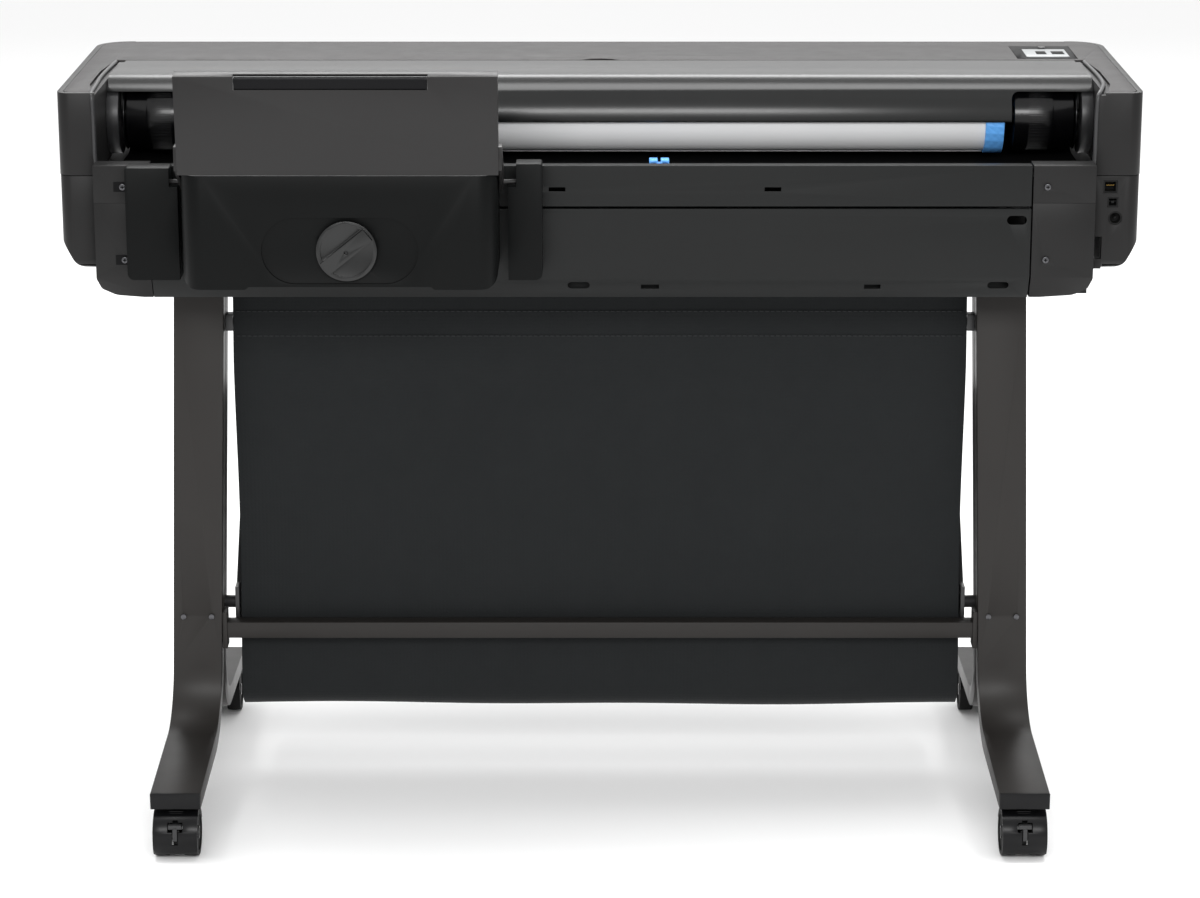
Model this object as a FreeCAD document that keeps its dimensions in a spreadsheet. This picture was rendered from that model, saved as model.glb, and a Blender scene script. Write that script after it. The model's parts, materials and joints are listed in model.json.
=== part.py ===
"""Large format plotter on a wheeled stand, as a parametric assembly.

Frame: +Z up from the floor, X along the printing width, +Y towards the operator.
The roll of paper turns about a line at Y = 0, and the origin is on the floor at
the middle of the stand. All lengths are millimetres, all angles degrees.
"""
import FreeCAD
import Part
import Sketcher
import os

DRIVING_SIZES = {
    # plotter body
    "body_width": 1317, "body_top": 932, "body_back": 144.5, "body_front": 265.5,
    "body_base": 683, "seam_height": 831, "shell_base": 714, "shell_wall": 3,
    "end_width": 46.5, "rim_width": 7, "far_corner": 42, "near_corner": 16,
    "panel_face": 176.5, "panel_gauge": 1.5, "panel_top": 849, "panel_split": 797,
    "bevel_top": 711.5, "bevel_inset": 16.5, "left_split": 545, "right_split": 523,
    "left_edge": 612.5, "right_edge": 599.5, "lid_gap": 3, "seam_gap": 0.4, "pan_gauge": 3, "pan_drop": 3.3,
    "hinge_pin": 1.5,
    # roll and its spindle
    "roll_drop": 52, "roll_radius": 44, "roll_width": 914, "roll_end": 478.5,
    "core_radius": 26, "shaft_radius": 12, "journal_radius": 8, "hub_radius": 43,
    "hub_start": 514, "hub_length": 74, "hub_step": 48, "stop_radius": 47, "stop_width": 23,
    "cover_radius": 52, "cover_skin": 3, "cover_half": 611.4, "hinge_half": 605,
    "cover_front": 106, "notch_start": 509.5, "notch_lift": 36, "bay_floor": 826, "run_fit": 0.05,
    # print zone
    "rail_radius": 8, "rail_front": 150, "rail_height": 862, "carriage_width": 90,
    "carriage_rest": 480, "feed_radius": 10, "feed_front": 88, "platen_top": 803,
    "slot_height": 16, "window_top": 904, "window_swell": 18, "button_radius": 5,
    # sheet feeder
    "feeder_left": 496, "feeder_right": 121.5, "feeder_back": 285, "feeder_base": 720,
    "feeder_seam": 857, "tray_height": 121, "tray_depth": 23, "tray_lean": 8.5,
    "knob_radius": 36, "knob_place": 300, "knob_height": 767, "dish_depth": 4,
    "pin_back": 200, "pin_height": 834, "pick_radius": 14,
    # stand
    "leg_top": 505, "leg_foot": 524, "leg_width": 62, "leg_depth": 33, "leg_wall": 2, "bend_radius": 70,
    "foot_reach": 285, "foot_base": 64, "foot_tip": 21, "foot_root": 34,
    "bar_base": 201.5, "bar_height": 21, "plate_gauge": 6,
    "wheel_radius": 28.5, "wheel_width": 18.5, "wheel_inner": 9, "wheel_reach": 271.4,
    "swivel_reach": 254, "hood_gap": 0.8, "hood_gauge": 1.8,
    # catch bin
    "bin_half": 465, "bin_base": 91, "bin_depth": 150, "bin_front": 223,
    "bin_mouth": 478, "cloth_gauge": 2.5, "rod_radius": 5, "rod_height": 613,
}

document = FreeCAD.newDocument("Plotter")
sheet = document.addObject("Spreadsheet::Sheet", "Sizes")
for row, (alias, number) in enumerate(DRIVING_SIZES.items(), start=1):
    sheet.set(f"A{row}", alias)
    sheet.set(f"B{row}", str(number))
    sheet.setAlias(f"B{row}", alias)
document.recompute()


class Size:
    """A length that knows both its number and the sheet expression it comes from."""

    def __init__(self, value, text):
        self.value = float(value)
        self.text = text

    def __add__(self, other):
        other = as_size(other)
        return Size(self.value + other.value, f"({self.text} + {other.text})")

    def __sub__(self, other):
        other = as_size(other)
        return Size(self.value - other.value, f"({self.text} - {other.text})")

    def __rsub__(self, other):
        return as_size(other) - self

    def __mul__(self, factor):
        factor = as_size(factor)
        return Size(self.value * factor.value, f"({self.text} * {factor.text})")

    def __truediv__(self, divisor):
        divisor = as_size(divisor)
        return Size(self.value / divisor.value, f"({self.text} / {divisor.text})")

    def __neg__(self):
        return self * -1

    __radd__ = __add__
    __rmul__ = __mul__


def as_size(number):
    """Return the number as a Size, and a Size as it is."""
    if isinstance(number, Size):
        return number
    return Size(number, f"({number})")


class Sheet:
    """The driving sizes by name."""

    def __init__(self):
        for name, value in DRIVING_SIZES.items():
            setattr(self, name, Size(value, f"Sizes.{name}"))


S = Sheet()
NODES = {}
PLANES = {"X": "YZ_Plane", "Y": "XZ_Plane", "Z": "XY_Plane"}
LEFT, RIGHT = -1, 1


def ordered(span):
    """Return the two ends of a span, lowest first."""
    low, high = (as_size(end) for end in span)
    return (low, high) if low.value <= high.value else (high, low)


def bind(thing, **expressions):
    """Tie properties of an object to sheet expressions."""
    for name, size in expressions.items():
        thing.setExpression(name, as_size(size).text)


def put(thing, x=0, y=0, z=0, turn=None):
    """Place an object at sheet-bound coordinates, optionally turned first."""
    if turn is not None:
        thing.Placement = FreeCAD.Placement(FreeCAD.Vector(), turn)
    for letter, size in zip("xyz", (x, y, z)):
        thing.setExpression(f"Placement.Base.{letter}", as_size(size).text)
    return thing


def node(name, thing):
    """Name a finished sub-part, so that it is written to a file of its own."""
    thing.Label = name
    NODES[name] = thing
    return thing


def block(x, y, z, name="Block"):
    """Return a box that fills three spans."""
    (x0, x1), (y0, y1), (z0, z1) = ordered(x), ordered(y), ordered(z)
    box = document.addObject("Part::Box", name)
    bind(box, Length=x1 - x0, Width=y1 - y0, Height=z1 - z0)
    return put(box, x0, y0, z0)


TURNS = {
    "X": FreeCAD.Rotation(FreeCAD.Vector(0, 1, 0), 90),
    "Y": FreeCAD.Rotation(FreeCAD.Vector(1, 0, 0), -90),
    "Z": FreeCAD.Rotation(),
}


def rod(axis, span, radius, x=0, y=0, z=0, name="Rod"):
    """Return a cylinder along X, Y or Z that fills a span of that axis."""
    low, high = ordered(span)
    cylinder = document.addObject("Part::Cylinder", name)
    bind(cylinder, Radius=radius, Height=high - low)
    place = {"X": x, "Y": y, "Z": z}
    place[axis] = low
    return put(cylinder, place["X"], place["Y"], place["Z"], TURNS[axis])


def cut(base, *tools):
    """Return the base with each tool taken away."""
    for tool in tools:
        result = document.addObject("Part::Cut", "Cut")
        result.Base = base
        result.Tool = tool
        base = result
    return base


def fuse(*pieces):
    """Return the pieces as one solid."""
    result = document.addObject("Part::MultiFuse", "Fuse")
    result.Shapes = list(pieces)
    result.Refine = True
    return result


def common(first, second):
    """Return what two pieces share."""
    result = document.addObject("Part::Common", "Common")
    result.Base = first
    result.Tool = second
    return result


def group(*pieces):
    """Return separate solids as one group."""
    result = document.addObject("Part::Compound", "Group")
    result.Links = list(pieces)
    return result


def profile(axis, span, outline, name="Profile", rounds=()):
    """Return a body whose outline is padded along an axis.

    The outline's points are (Y, Z) along X, (X, Z) along Y and (X, Y) along Z. Each
    round is (corner, radius), where the corner is the number of an outline point.
    """
    low, high = ordered(span)
    body = document.addObject("PartDesign::Body", name)
    sketch = body.newObject("Sketcher::SketchObject", name + "Sketch")
    plane = next(f for f in body.Origin.OriginFeatures if f.Role == PLANES[axis])
    sketch.AttachmentSupport = (plane, [""])
    sketch.MapMode = "FlatFace"
    points = [(as_size(u), as_size(v)) for u, v in outline]
    corners = [FreeCAD.Vector(u.value, v.value, 0) for u, v in points]
    for index, corner in enumerate(corners):
        following = corners[(index + 1) % len(corners)]
        sketch.addGeometry(Part.LineSegment(corner, following))
    for index, (u, v) in enumerate(points):
        previous = (index - 1) % len(points)
        sketch.addConstraint(Sketcher.Constraint("Coincident", previous, 2, index, 1))
        for kind, size in (("DistanceX", u), ("DistanceY", v)):
            number = sketch.addConstraint(Sketcher.Constraint(kind, index, 1, size.value))
            sketch.setExpression(f"Constraints[{number}]", size.text)
    pad = body.newObject("PartDesign::Pad", name + "Pad")
    pad.Profile = sketch
    pad.setExpression("Length", (high - low).text)
    if axis == "Y":
        pad.Reversed = True
    place = {"X": 0, "Y": 0, "Z": 0}
    place[axis] = low
    put(body, place["X"], place["Y"], place["Z"])
    document.recompute()
    for number, (corner, radius) in enumerate(rounds):
        round_corner(body, axis, corners[corner], radius, f"{name}Round{number}")
    return body


def round_corner(body, axis, corner, radius, name):
    """Round the padded edge that stands over one corner of an outline."""
    across = {"X": ("y", "z"), "Y": ("x", "z"), "Z": ("x", "y")}[axis]
    base = body.Tip
    found = []
    for number, edge in enumerate(base.Shape.Edges, start=1):
        ends = [vertex.Point for vertex in edge.Vertexes]
        if len(ends) == 2 and all(
            abs(getattr(end, across[0]) - corner.x) < 1e-4
            and abs(getattr(end, across[1]) - corner.y) < 1e-4 for end in ends
        ):
            found.append(f"Edge{number}")
    if len(found) != 1:
        raise RuntimeError(f"{name}: expected one edge at the corner, found {len(found)}")
    fillet = body.newObject("PartDesign::Fillet", name)
    fillet.Base = (base, found)
    fillet.setExpression("Radius", as_size(radius).text)
    body.Tip = fillet
    document.recompute()


HALF = S.body_width / 2
INNER = HALF - S.end_width
PANEL_IN = S.panel_face - S.panel_gauge
LID_GAUGE = S.shell_wall
PAN_BASE = S.body_base + S.pan_drop
PAN_TOP = PAN_BASE + S.pan_gauge
ROLL_HEIGHT = S.body_top - S.roll_drop
COVER_HINGE_Y, COVER_HINGE_Z = S.cover_front - 3.5, S.body_top - 5.2
WINDOW_HINGE_Y, WINDOW_HINGE_Z = S.body_front - 2.6, S.window_top - 4.2


def mirrored(side, low, high):
    """Return a span of X on one side of the middle."""
    return ordered((low * side, high * side))


def end_housing(side, tag):
    """Build the upper and lower shells of one end of the machine."""
    wall = S.shell_wall

    def plan(inset, base, top, name, inner):
        """Return a block with the housing's outline seen from above."""
        outer, rear, front = HALF - inset, -S.body_back + inset, S.body_front - inset
        points = [(inner * side, rear), (outer * side, rear), (outer * side, front), (inner * side, front)]
        rounds = [(1, S.near_corner - inset), (2, S.far_corner - inset)]
        return profile("Z", (base, top), points, name, rounds)

    upper = plan(0, S.seam_height, S.body_top, "Upper" + tag, INNER)
    if side == RIGHT:
        flange_top = S.body_top - LID_GAUGE
        flange = block((INNER - 9, INNER), (-S.body_back, -S.body_back + 12), (S.seam_height, flange_top))
        upper = fuse(upper, flange)
    upper = cut(
        upper,
        plan(wall, S.seam_height - 1, S.body_top - LID_GAUGE - wall - 1, "UpperInside" + tag, INNER + wall),
        plan(
            S.rim_width, S.body_top - LID_GAUGE - S.seam_gap, S.body_top + 1,
            "UpperRecess" + tag, INNER - 20,
        ),
    )
    window_bore = rod(
        "X", mirrored(side, INNER - 12, INNER + 8), S.hinge_pin + S.run_fit,
        y=WINDOW_HINGE_Y, z=WINDOW_HINGE_Z,
    )
    node(f"end_upper_{tag}", cut(upper, window_bore))

    base, bevel = S.shell_base, S.shell_base + 36
    slope = [
        ((INNER - 20) * side, base), ((HALF - 20) * side, base + 2), (HALF * side, bevel),
        ((HALF + 5) * side, bevel + 1), ((HALF + 5) * side, S.seam_height),
        ((INNER - 20) * side, S.seam_height),
    ]
    everywhere = (-S.body_back - 10, S.body_front + 10)
    inside = [
        ((INNER + wall) * side, base + wall), ((HALF - 20 - wall) * side, base + 2 + wall),
        ((HALF - wall) * side, bevel), ((HALF - wall) * side, S.seam_height),
        ((INNER + wall) * side, S.seam_height),
    ]
    lower_top = S.seam_height - 1
    underside = profile("X", mirrored(side, INNER - 20, HALF + 5), [
        (-S.body_back, lower_top), (-S.body_back, base), (S.body_front, base), (S.body_front, lower_top),
    ], "Underside" + tag, [(1, 16), (2, 10)])
    outer = common(common(
        plan(0.6, base - 1, lower_top, "Lower" + tag, INNER),
        profile("Y", everywhere, slope, "Slope" + tag, [(1, 18)]),
    ), underside)
    hollow = common(
        plan(wall + 0.6, base, S.seam_height + 1, "LowerInside" + tag, INNER + wall),
        profile("Y", everywhere, inside, "SlopeInside" + tag),
    )
    if side == LEFT:
        node(f"end_lower_{tag}", cut(outer, hollow))
        return
    low_flange = block((INNER - 9, INNER + 1), (-S.body_back + 0.6, -S.body_back + 6), (base + 1, lower_top))
    recess = block((INNER - 10, INNER + 1), (-S.body_back - 1, -S.body_back + 9), (727, 755))
    node(f"end_lower_{tag}", cut(fuse(outer, low_flange), hollow, recess, *port_cuts()))


def port_window(x, z, depth=8):
    """Return a cutter through the rear wall of the right end housing."""
    return block(x, (-S.body_back - 5, -S.body_back + depth), z, "PortCut")


NET_X, NET_Z = (613, 630), (809, 825)
USB_X, USB_Z = (618.5, 631.5), (791.5, 804)
POWER_X, POWER_Z, POWER_R = 628.5, 778, 8.6
SOCKET_DEPTH = 20


def port_cuts():
    """Return the cutters for the sockets and the open recess at the right end."""
    return [
        port_window(NET_X, NET_Z, SOCKET_DEPTH + 3),
        port_window(USB_X, USB_Z),
        rod("Y", (-S.body_back - 5, -S.body_back + 8), POWER_R, x=POWER_X, z=POWER_Z),
    ]


def socket(x, z, mouth, depth, tongue):
    """Return a square socket: a case open to the rear with a contact tongue."""
    (x0, x1), (z0, z1) = ordered(x), ordered(z)
    face = -S.body_back + 1.2
    case = block((x0 + 0.2, x1 - 0.2), (face, face + depth), (z0 + 0.2, z1 - 0.2))
    cavity = block((x0 + mouth, x1 - mouth), (face - 1, face + depth - 2), (z0 + mouth, z1 - mouth))
    contact = block((x0 + mouth - 0.2, x1 - mouth + 0.2), (face + 6, face + depth - 1), tongue)
    return fuse(cut(case, cavity), contact)


def sockets():
    """Build the network and data sockets and the round power inlet."""
    network = socket(NET_X, NET_Z, 1.8, SOCKET_DEPTH, (821.4, 823.6))
    data = socket(USB_X, USB_Z, 1.8, 16, (796.9, 798.6))
    face = -S.body_back + 1.2
    body = rod("Y", (face, face + 18), POWER_R - 0.2, x=POWER_X, z=POWER_Z)
    throat = rod("Y", (face - 1, face + 14), POWER_R - 2, x=POWER_X, z=POWER_Z)
    pin = rod("Y", (face + 3, face + 15), 1.2, x=POWER_X, z=POWER_Z)
    node("port_sockets", group(network, data, fuse(cut(body, throat), pin)))


BEZEL_X, BEZEL_Y = (534, 611.8), (118.5, 222.5)
BUTTON_X, BUTTON_Y = 575, 208


def top_and_panel():
    """Build the wide top plate, the control panel let into it and its power button."""
    edge = S.rim_width + S.seam_gap
    outer, inner, bulge = HALF - edge, S.cover_half + 4.6, S.cover_half + 14.6
    rear, front = -S.body_back + edge, S.body_front - edge
    opening = S.cover_front + S.lid_gap
    outline = [
        (-outer, rear), (-outer, front), (outer, front), (outer, rear),
        (inner, rear), (bulge, -75), (bulge, 20), (inner + 2, opening),
        (-inner - 2, opening), (-bulge, 20), (-bulge, -75), (-inner, rear),
    ]
    span = (S.body_top - LID_GAUGE, S.body_top)
    rounds = [(1, S.far_corner - edge), (2, S.far_corner - edge), (0, S.near_corner - edge + 4)]
    rounds += [(3, S.near_corner - edge + 4)]
    rounds += [(corner, 3) for corner in (4, 7, 8, 11)]
    plate = profile("Z", span, outline, "TopPlate", rounds)
    opening_cut = block(BEZEL_X, BEZEL_Y, (S.body_top - 9, S.body_top + 1))
    finger_notch = rod("Z", (S.body_top - 9, S.body_top + 1), 30, y=opening - 18)
    lugs = [
        block(
            mirrored(side, S.hinge_half + 1, S.hinge_half + 6), (COVER_HINGE_Y - 4, opening + 8),
            (S.body_top - 9.5, S.body_top - LID_GAUGE)
        )
        for side in (LEFT, RIGHT)
    ]
    bores = rod("X", (-HALF, HALF), S.hinge_pin + S.run_fit, y=COVER_HINGE_Y, z=COVER_HINGE_Z)
    node("top_plate", cut(fuse(cut(plate, opening_cut, finger_notch), *lugs), bores))

    (x0, x1), (y0, y1) = ordered(BEZEL_X), ordered(BEZEL_Y)
    gap = S.seam_gap
    slab = block((x0 + gap, x1 - gap), (y0 + gap, y1 - gap), (S.body_top - 7, S.body_top))
    screen = block((x0 + 15, x1 - 11), (y0 + 12, y1 - 31), (S.body_top - 0.8, S.body_top + 1))
    bore = rod("Z", (S.body_top - 8, S.body_top + 1), S.button_radius + 0.4, x=BUTTON_X, y=BUTTON_Y)
    node("control_bezel", cut(slab, screen, bore))
    cap = rod("Z", (S.body_top - 5, S.body_top + 1.4), S.button_radius, x=BUTTON_X, y=BUTTON_Y)
    node("power_button", cap)


def rear_section(bottom, gauge, outer_top, lip):
    """Return the folded section of the rear sheet: top lip, face, bevel and bottom flange."""
    face, low = -S.panel_face, S.body_base
    bevel = face + S.bevel_inset
    return [
        (face, outer_top), (face, bottom), (bevel, low), (bevel + lip, low), (bevel + lip, low + gauge),
        (bevel + gauge, low + gauge), (face + gauge, bottom + gauge), (face + gauge, outer_top - gauge),
        (face + lip, outer_top - gauge), (face + lip, outer_top),
    ]


def slot_cut(centre, height, width, tall, depth=12):
    """Return a cutter for a slot in the rear sheet."""
    return block(
        (centre - width / 2, centre + width / 2), (-S.panel_face - 2, -S.panel_face + depth),
        (height - tall / 2, height + tall / 2), "Slot"
    )


def pill_cut(centre, height, width, tall, depth=24):
    """Return a cutter for a slot with round ends in the rear sheet."""
    reach = (-S.panel_face - 2, -S.panel_face + depth)
    half = width / 2 - tall / 2
    middle = block((centre - half, centre + half), reach, (height - tall / 2, height + tall / 2))
    ends = [rod("Y", reach, tall / 2, x=centre + side * half, z=height) for side in (LEFT, RIGHT)]
    return fuse(middle, *ends)


def rear_sheets():
    """Build the upper and lower rear sheets and the strip at each end of them."""
    span = (-S.left_split, S.right_split - 1)
    gauge, face = S.panel_gauge, -S.panel_face
    low, high = S.panel_split + 2, S.panel_top
    upper = profile("X", span, [
        (face, low), (face, high), (face + 16, high), (face + 16, high - gauge),
        (face + gauge, high - gauge), (face + gauge, low),
    ], "UpperSheet", [(1, gauge / 2)])
    node("rear_upper_panel", cut(upper, slot_cut(-52, 820, 20, 5), slot_cut(209, 820, 20, 5)))

    top = S.panel_split - 1
    lower = profile("X", span, rear_section(S.bevel_top, gauge, top, 30), "LowerSheet", [(0, gauge / 2)])
    cuts = [slot_cut(61, 698, 22, 6, 30), slot_cut(332, 698, 20, 6, 30), pill_cut(-26, 700, 27, 9)]
    cuts += [pill_cut(485, 700, 26, 9), pill_cut(505, 782, 24, 11, 8)]
    node("rear_lower_panel", cut(lower, *cuts))

    gauge = S.shell_wall
    high = S.panel_top
    for side, inner, edge, tag in (
        (LEFT, S.left_split + 1, S.left_edge, "left"), (RIGHT, S.right_split + 1, S.right_edge, "right"),
    ):
        section = profile(
            "X", mirrored(side, inner, edge), rear_section(S.bevel_top, gauge, high, 32), "Strip" + tag,
            [(0, 1)]
        )
        outline = [
            ((inner - 5) * side, high + 1), ((inner - 5) * side, S.body_base - 1),
            (inner * side, S.body_base - 1), ((edge - 22) * side, S.body_base + 3),
            ((edge - 5) * side, S.body_base + 12), (edge * side, S.bevel_top - 3), (edge * side, high + 1),
        ]
        shape = profile("Y", (-200, 0), outline, "StripOutline" + tag, [(3, 25), (4, 8), (5, 8)])
        holes = [rod("Y", (-200, -150), 3.1, x=STRIP_SCREWS[side], z=height) for height in SCREW_HEIGHTS]
        seam = block((-700, 700), (-S.panel_face - 1, -S.panel_face + 0.5), (802.5, 803.3))
        node(f"rear_strip_{tag}", cut(common(section, shape), seam, *holes))


SCREW_HEIGHTS = (823, 733)
STRIP_SCREWS = {LEFT: -(S.left_edge - 35.5), RIGHT: S.right_split + 18}
LEG_SCREW, LEG_SCREW_HEIGHT, LEG_SCREW_SHIFTS = 1.8, 232, (-18, 18)


def pan_screw(x, front, z, length=14, head=3.9, shank=2.9):
    """Return a pan-head screw that points along +Y from its head's face."""
    return fuse(
        rod("Y", (front, front + 2.2), head, x=x, z=z),
        rod("Y", (front + 1, front + length), shank, x=x, z=z),
    )


def screws():
    """Build the screws of the end strips and of the legs as one group."""
    pieces = []
    head = -S.panel_face - 2.2
    for side in (LEFT, RIGHT):
        for height in SCREW_HEIGHTS:
            pieces.append(pan_screw(STRIP_SCREWS[side], head, height))
        for shift in LEG_SCREW_SHIFTS:
            place = (leg_line(LEG_SCREW_HEIGHT) * side + shift, -S.leg_depth - 2.2, LEG_SCREW_HEIGHT)
            pieces.append(pan_screw(*place, length=6, head=3.6, shank=LEG_SCREW))
    node("screws", group(*pieces))


INK_BASE = 702


def chassis():
    """Build the floor pan, the black bay that holds the roll and its blue guide."""
    reach = S.right_edge - 4
    span = (-reach, reach)
    low, high, gauge = PAN_BASE, PAN_BASE + 14, S.pan_gauge
    rear, front = -S.panel_face + 22.5, S.body_front - 25.5
    pan = profile("X", span, [
        (rear, high), (rear, low), (front, low), (front, high),
        (front - gauge, high), (front - gauge, low + gauge),
        (rear + gauge, low + gauge), (rear + gauge, high),
    ], "Pan")
    shelf = block((462, 588), (150, front), (low, INK_BASE - 0.3))
    node("base_tray", fuse(pan, shelf))

    wall, floor = 2.5, S.bay_floor
    front = S.roll_radius + 14
    lip = S.panel_top - 4
    rear = -PANEL_IN + 5
    bay = [
        (rear, lip), (rear, lip - wall), (-115, floor - wall), (front + wall, floor - wall),
        (front + wall, S.body_top - 12), (front, S.body_top - 12), (front, floor), (-115 + 1, floor),
    ]
    trough = profile("X", span, bay, "Bay", [(3, 25 + wall), (6, 25)])
    supports = [
        block(mirrored(side, reach - 3, reach), (-60, 56), (PAN_TOP, floor - wall))
        for side in (LEFT, RIGHT)
    ]
    node("roll_bay", fuse(trough, *supports))
    saddle = block((60, 84), (-146, -128), (floor + 12, floor + 24))
    pockets = [block((x, x + 6), (-147, -142), (floor + 14, floor + 21)) for x in (62, 76)]
    groove = block((70, 74), (-150, -120), (floor + 19, floor + 25))
    node("roll_guide", cut(saddle, groove, *pockets))


def cradles():
    """Build the two round cradles that hold the spindle's journals, open at the top."""
    pieces = []
    for side in (LEFT, RIGHT):
        span = mirrored(side, S.hub_start + S.hub_length + 9, INNER - 0.3)
        disc = rod("X", span, S.hub_radius + 4.5, z=ROLL_HEIGHT)
        bore = rod("X", (span[0] - 1, span[1] + 1), S.journal_radius + S.run_fit, z=ROLL_HEIGHT)
        slot = block(
            (span[0] - 1, span[1] + 1), (-S.journal_radius - 1, S.journal_radius + 1),
            (ROLL_HEIGHT + 4, ROLL_HEIGHT + 60)
        )
        crown = block((span[0] - 1, span[1] + 1), (-60, 60), (S.body_top - 5.5, S.body_top + 5))
        pieces.append(cut(disc, bore, slot, crown))
    node("spindle_cradles", group(*pieces))


def spindle():
    """Build the spindle, its hubs, the roll of paper and the two blue end stops."""
    at = {"z": ROLL_HEIGHT}
    journal = INNER - 1.5
    shaft = fuse(
        rod("X", (-(S.hub_start + S.hub_length), S.hub_start + S.hub_length), S.shaft_radius, **at),
        rod("X", (-journal, journal), S.journal_radius, **at),
    )
    node("spindle_shaft", shaft)

    hubs = []
    for side in (LEFT, RIGHT):
        step = S.hub_start + S.hub_step
        big = rod("X", mirrored(side, S.hub_start, step), S.hub_radius, **at)
        small = rod("X", mirrored(side, step - 1, S.hub_start + S.hub_length), S.hub_radius - 3, **at)
        ring = rod("X", mirrored(side, S.hub_start + S.hub_length + 2, S.hub_start + S.hub_length + 4),
                   S.hub_radius - 1, **at)
        neck = rod("X", mirrored(side, S.hub_start + S.hub_length - 1, S.hub_start + S.hub_length + 3),
                   S.hub_radius - 12, **at)
        through = rod("X", mirrored(side, S.hub_start - 1, S.hub_start + S.hub_length + 5),
                      S.shaft_radius, **at)
        hubs.append(cut(fuse(big, small, neck, ring), through))
    node("spindle_hubs", group(*hubs))

    left_end = S.roll_end - S.roll_width
    roll = rod("X", (left_end, S.roll_end), S.roll_radius, **at)
    core = rod("X", (left_end - 1, S.roll_end + 1), S.core_radius, **at)
    node("paper_roll", cut(roll, core))
    stops = []
    for start, inward in ((S.roll_end, -1), (left_end, 1)):
        flange = rod("X", (start, start - S.stop_width * inward), S.stop_radius, **at)
        plug = rod("X", (start, start + 22 * inward), S.core_radius, **at)
        bore = rod("X", (start - 40, start + 40), S.shaft_radius, **at)
        stops.append(cut(fuse(flange, plug), bore))
    node("roll_end_stops", group(*stops))


def quarter(span, y, z, outer, inner, start=90, sweep=90):
    """Return a quarter ring along X: 0 degrees points forward and 90 degrees points up."""
    low, high = ordered(span)
    pieces = []
    for radius in (outer, inner):
        wedge = document.addObject("Part::Cylinder", "Wedge")
        bind(wedge, Radius=radius, Height=high - low)
        wedge.Angle = sweep
        turn = FreeCAD.Rotation(FreeCAD.Vector(1, 0, 0), start).multiply(
            FreeCAD.Rotation(FreeCAD.Vector(1, 1, 1), 120)
        )
        put(wedge, low, y, z, turn)
        pieces.append(wedge)
    return cut(*pieces)


def roll_cover():
    """Build the long cover: flat on top, curved down behind the roll, notched at both ends."""
    half, skin, radius = S.cover_half, S.cover_skin, S.cover_radius
    top = ROLL_HEIGHT + radius
    span = (-half, half)
    flat = block(span, (0, S.cover_front), (top - skin, top))
    curve = quarter(span, 0, ROLL_HEIGHT, radius, radius - skin)
    cover = fuse(flat, curve)
    for side in (LEFT, RIGHT):
        notch = profile("Y", (-radius - 5, 40), [
            (S.notch_start * side, ROLL_HEIGHT - 5), (S.notch_start * side, ROLL_HEIGHT + S.notch_lift),
            ((half + 5) * side, ROLL_HEIGHT + S.notch_lift), ((half + 5) * side, ROLL_HEIGHT - 5),
        ], "Notch", [(1, 9)])
        cover = cut(cover, notch)
    tabs = []
    for side in (LEFT, RIGHT):
        pin_start, pin_end = S.hinge_half - 4, S.hinge_half + 5
        relief = mirrored(side, S.hinge_half, half + 5)
        cover = cut(cover, block(relief, (S.cover_front - 14, S.cover_front + 5), (top - 10, top + 5)))
        tabs.append(block(
            mirrored(side, S.hinge_half - 6, S.hinge_half), (S.cover_front - 7, S.cover_front),
            (top - 7.5, top - 1),
        ))
        pin = rod("X", mirrored(side, pin_start, pin_end), S.hinge_pin, y=COVER_HINGE_Y, z=COVER_HINGE_Z)
        tabs.append(pin)
    node("roll_cover", fuse(cover, *tabs))


def print_zone():
    """Build the rail, carriage, belt, motor, platen, feed roller and service station."""
    reach = INNER - 0.3
    rail_at = {"y": S.rail_front, "z": S.rail_height}
    node("carriage_rail", rod("X", (-reach, reach), S.rail_radius, **rail_at))

    left = S.carriage_rest - S.carriage_width
    case = block((left, S.carriage_rest), (S.rail_front - 26, S.rail_front + 52), (816, 884))
    heads = block((left + 8, S.carriage_rest - 8), (S.rail_front + 16, S.rail_front + 46), (809, 817))
    bore = rod("X", (left - 1, S.carriage_rest + 1), S.rail_radius + S.run_fit, **rail_at)
    node("carriage", cut(fuse(case, heads), bore))

    belt_y, belt_z, wheel = S.rail_front - 38, 892, 9
    ends = (-reach + 45, reach - 45)

    def loop(radius):
        """Return the belt's closed outline as a solid of the given end radius."""
        depth = (belt_y - 3, belt_y + 3)
        run = block(ends, depth, (belt_z - radius, belt_z + radius))
        turns = [rod("Y", depth, radius, x=end, z=belt_z) for end in ends]
        return fuse(run, *turns)

    node("drive_belt", cut(loop(wheel + 1), loop(wheel)))
    pieces = []
    for end in ends:
        pulley = rod("Y", (belt_y - 4, belt_y + 4), wheel, x=end, z=belt_z)
        pieces.append(pulley)
    motor = rod("Y", (belt_y - 38, belt_y - 4), 21, x=ends[0], z=belt_z - 2)
    shaft = rod("Y", (belt_y - 5, belt_y + 5), 3, x=ends[0], z=belt_z)
    pieces[0] = fuse(pieces[0], motor, shaft)
    node("carriage_motor", group(*pieces))

    deck = block((-520, 520), (S.feed_front + 16, 232), (S.platen_top - 7, S.platen_top))
    node("print_platen", deck)
    roller = rod("X", (-520, 520), S.feed_radius, y=S.feed_front, z=S.platen_top - 4)
    ends_shaft = rod("X", (-reach, reach), 4, y=S.feed_front, z=S.platen_top - 4)
    gear = rod("X", (-reach + 32, -reach + 40), 26, y=S.feed_front, z=S.platen_top - 4)
    node("feed_roller", fuse(roller, ends_shaft, gear))

    tub = block((524, 586), (116, 226), (764, 804))
    well = block((529, 581), (121, 221), (772, 805))
    caps = [block((x, x + 9), (150, 190), (771, 800)) for x in (533, 545, 557, 569)]
    node("service_station", fuse(cut(tub, well), *caps))


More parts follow.
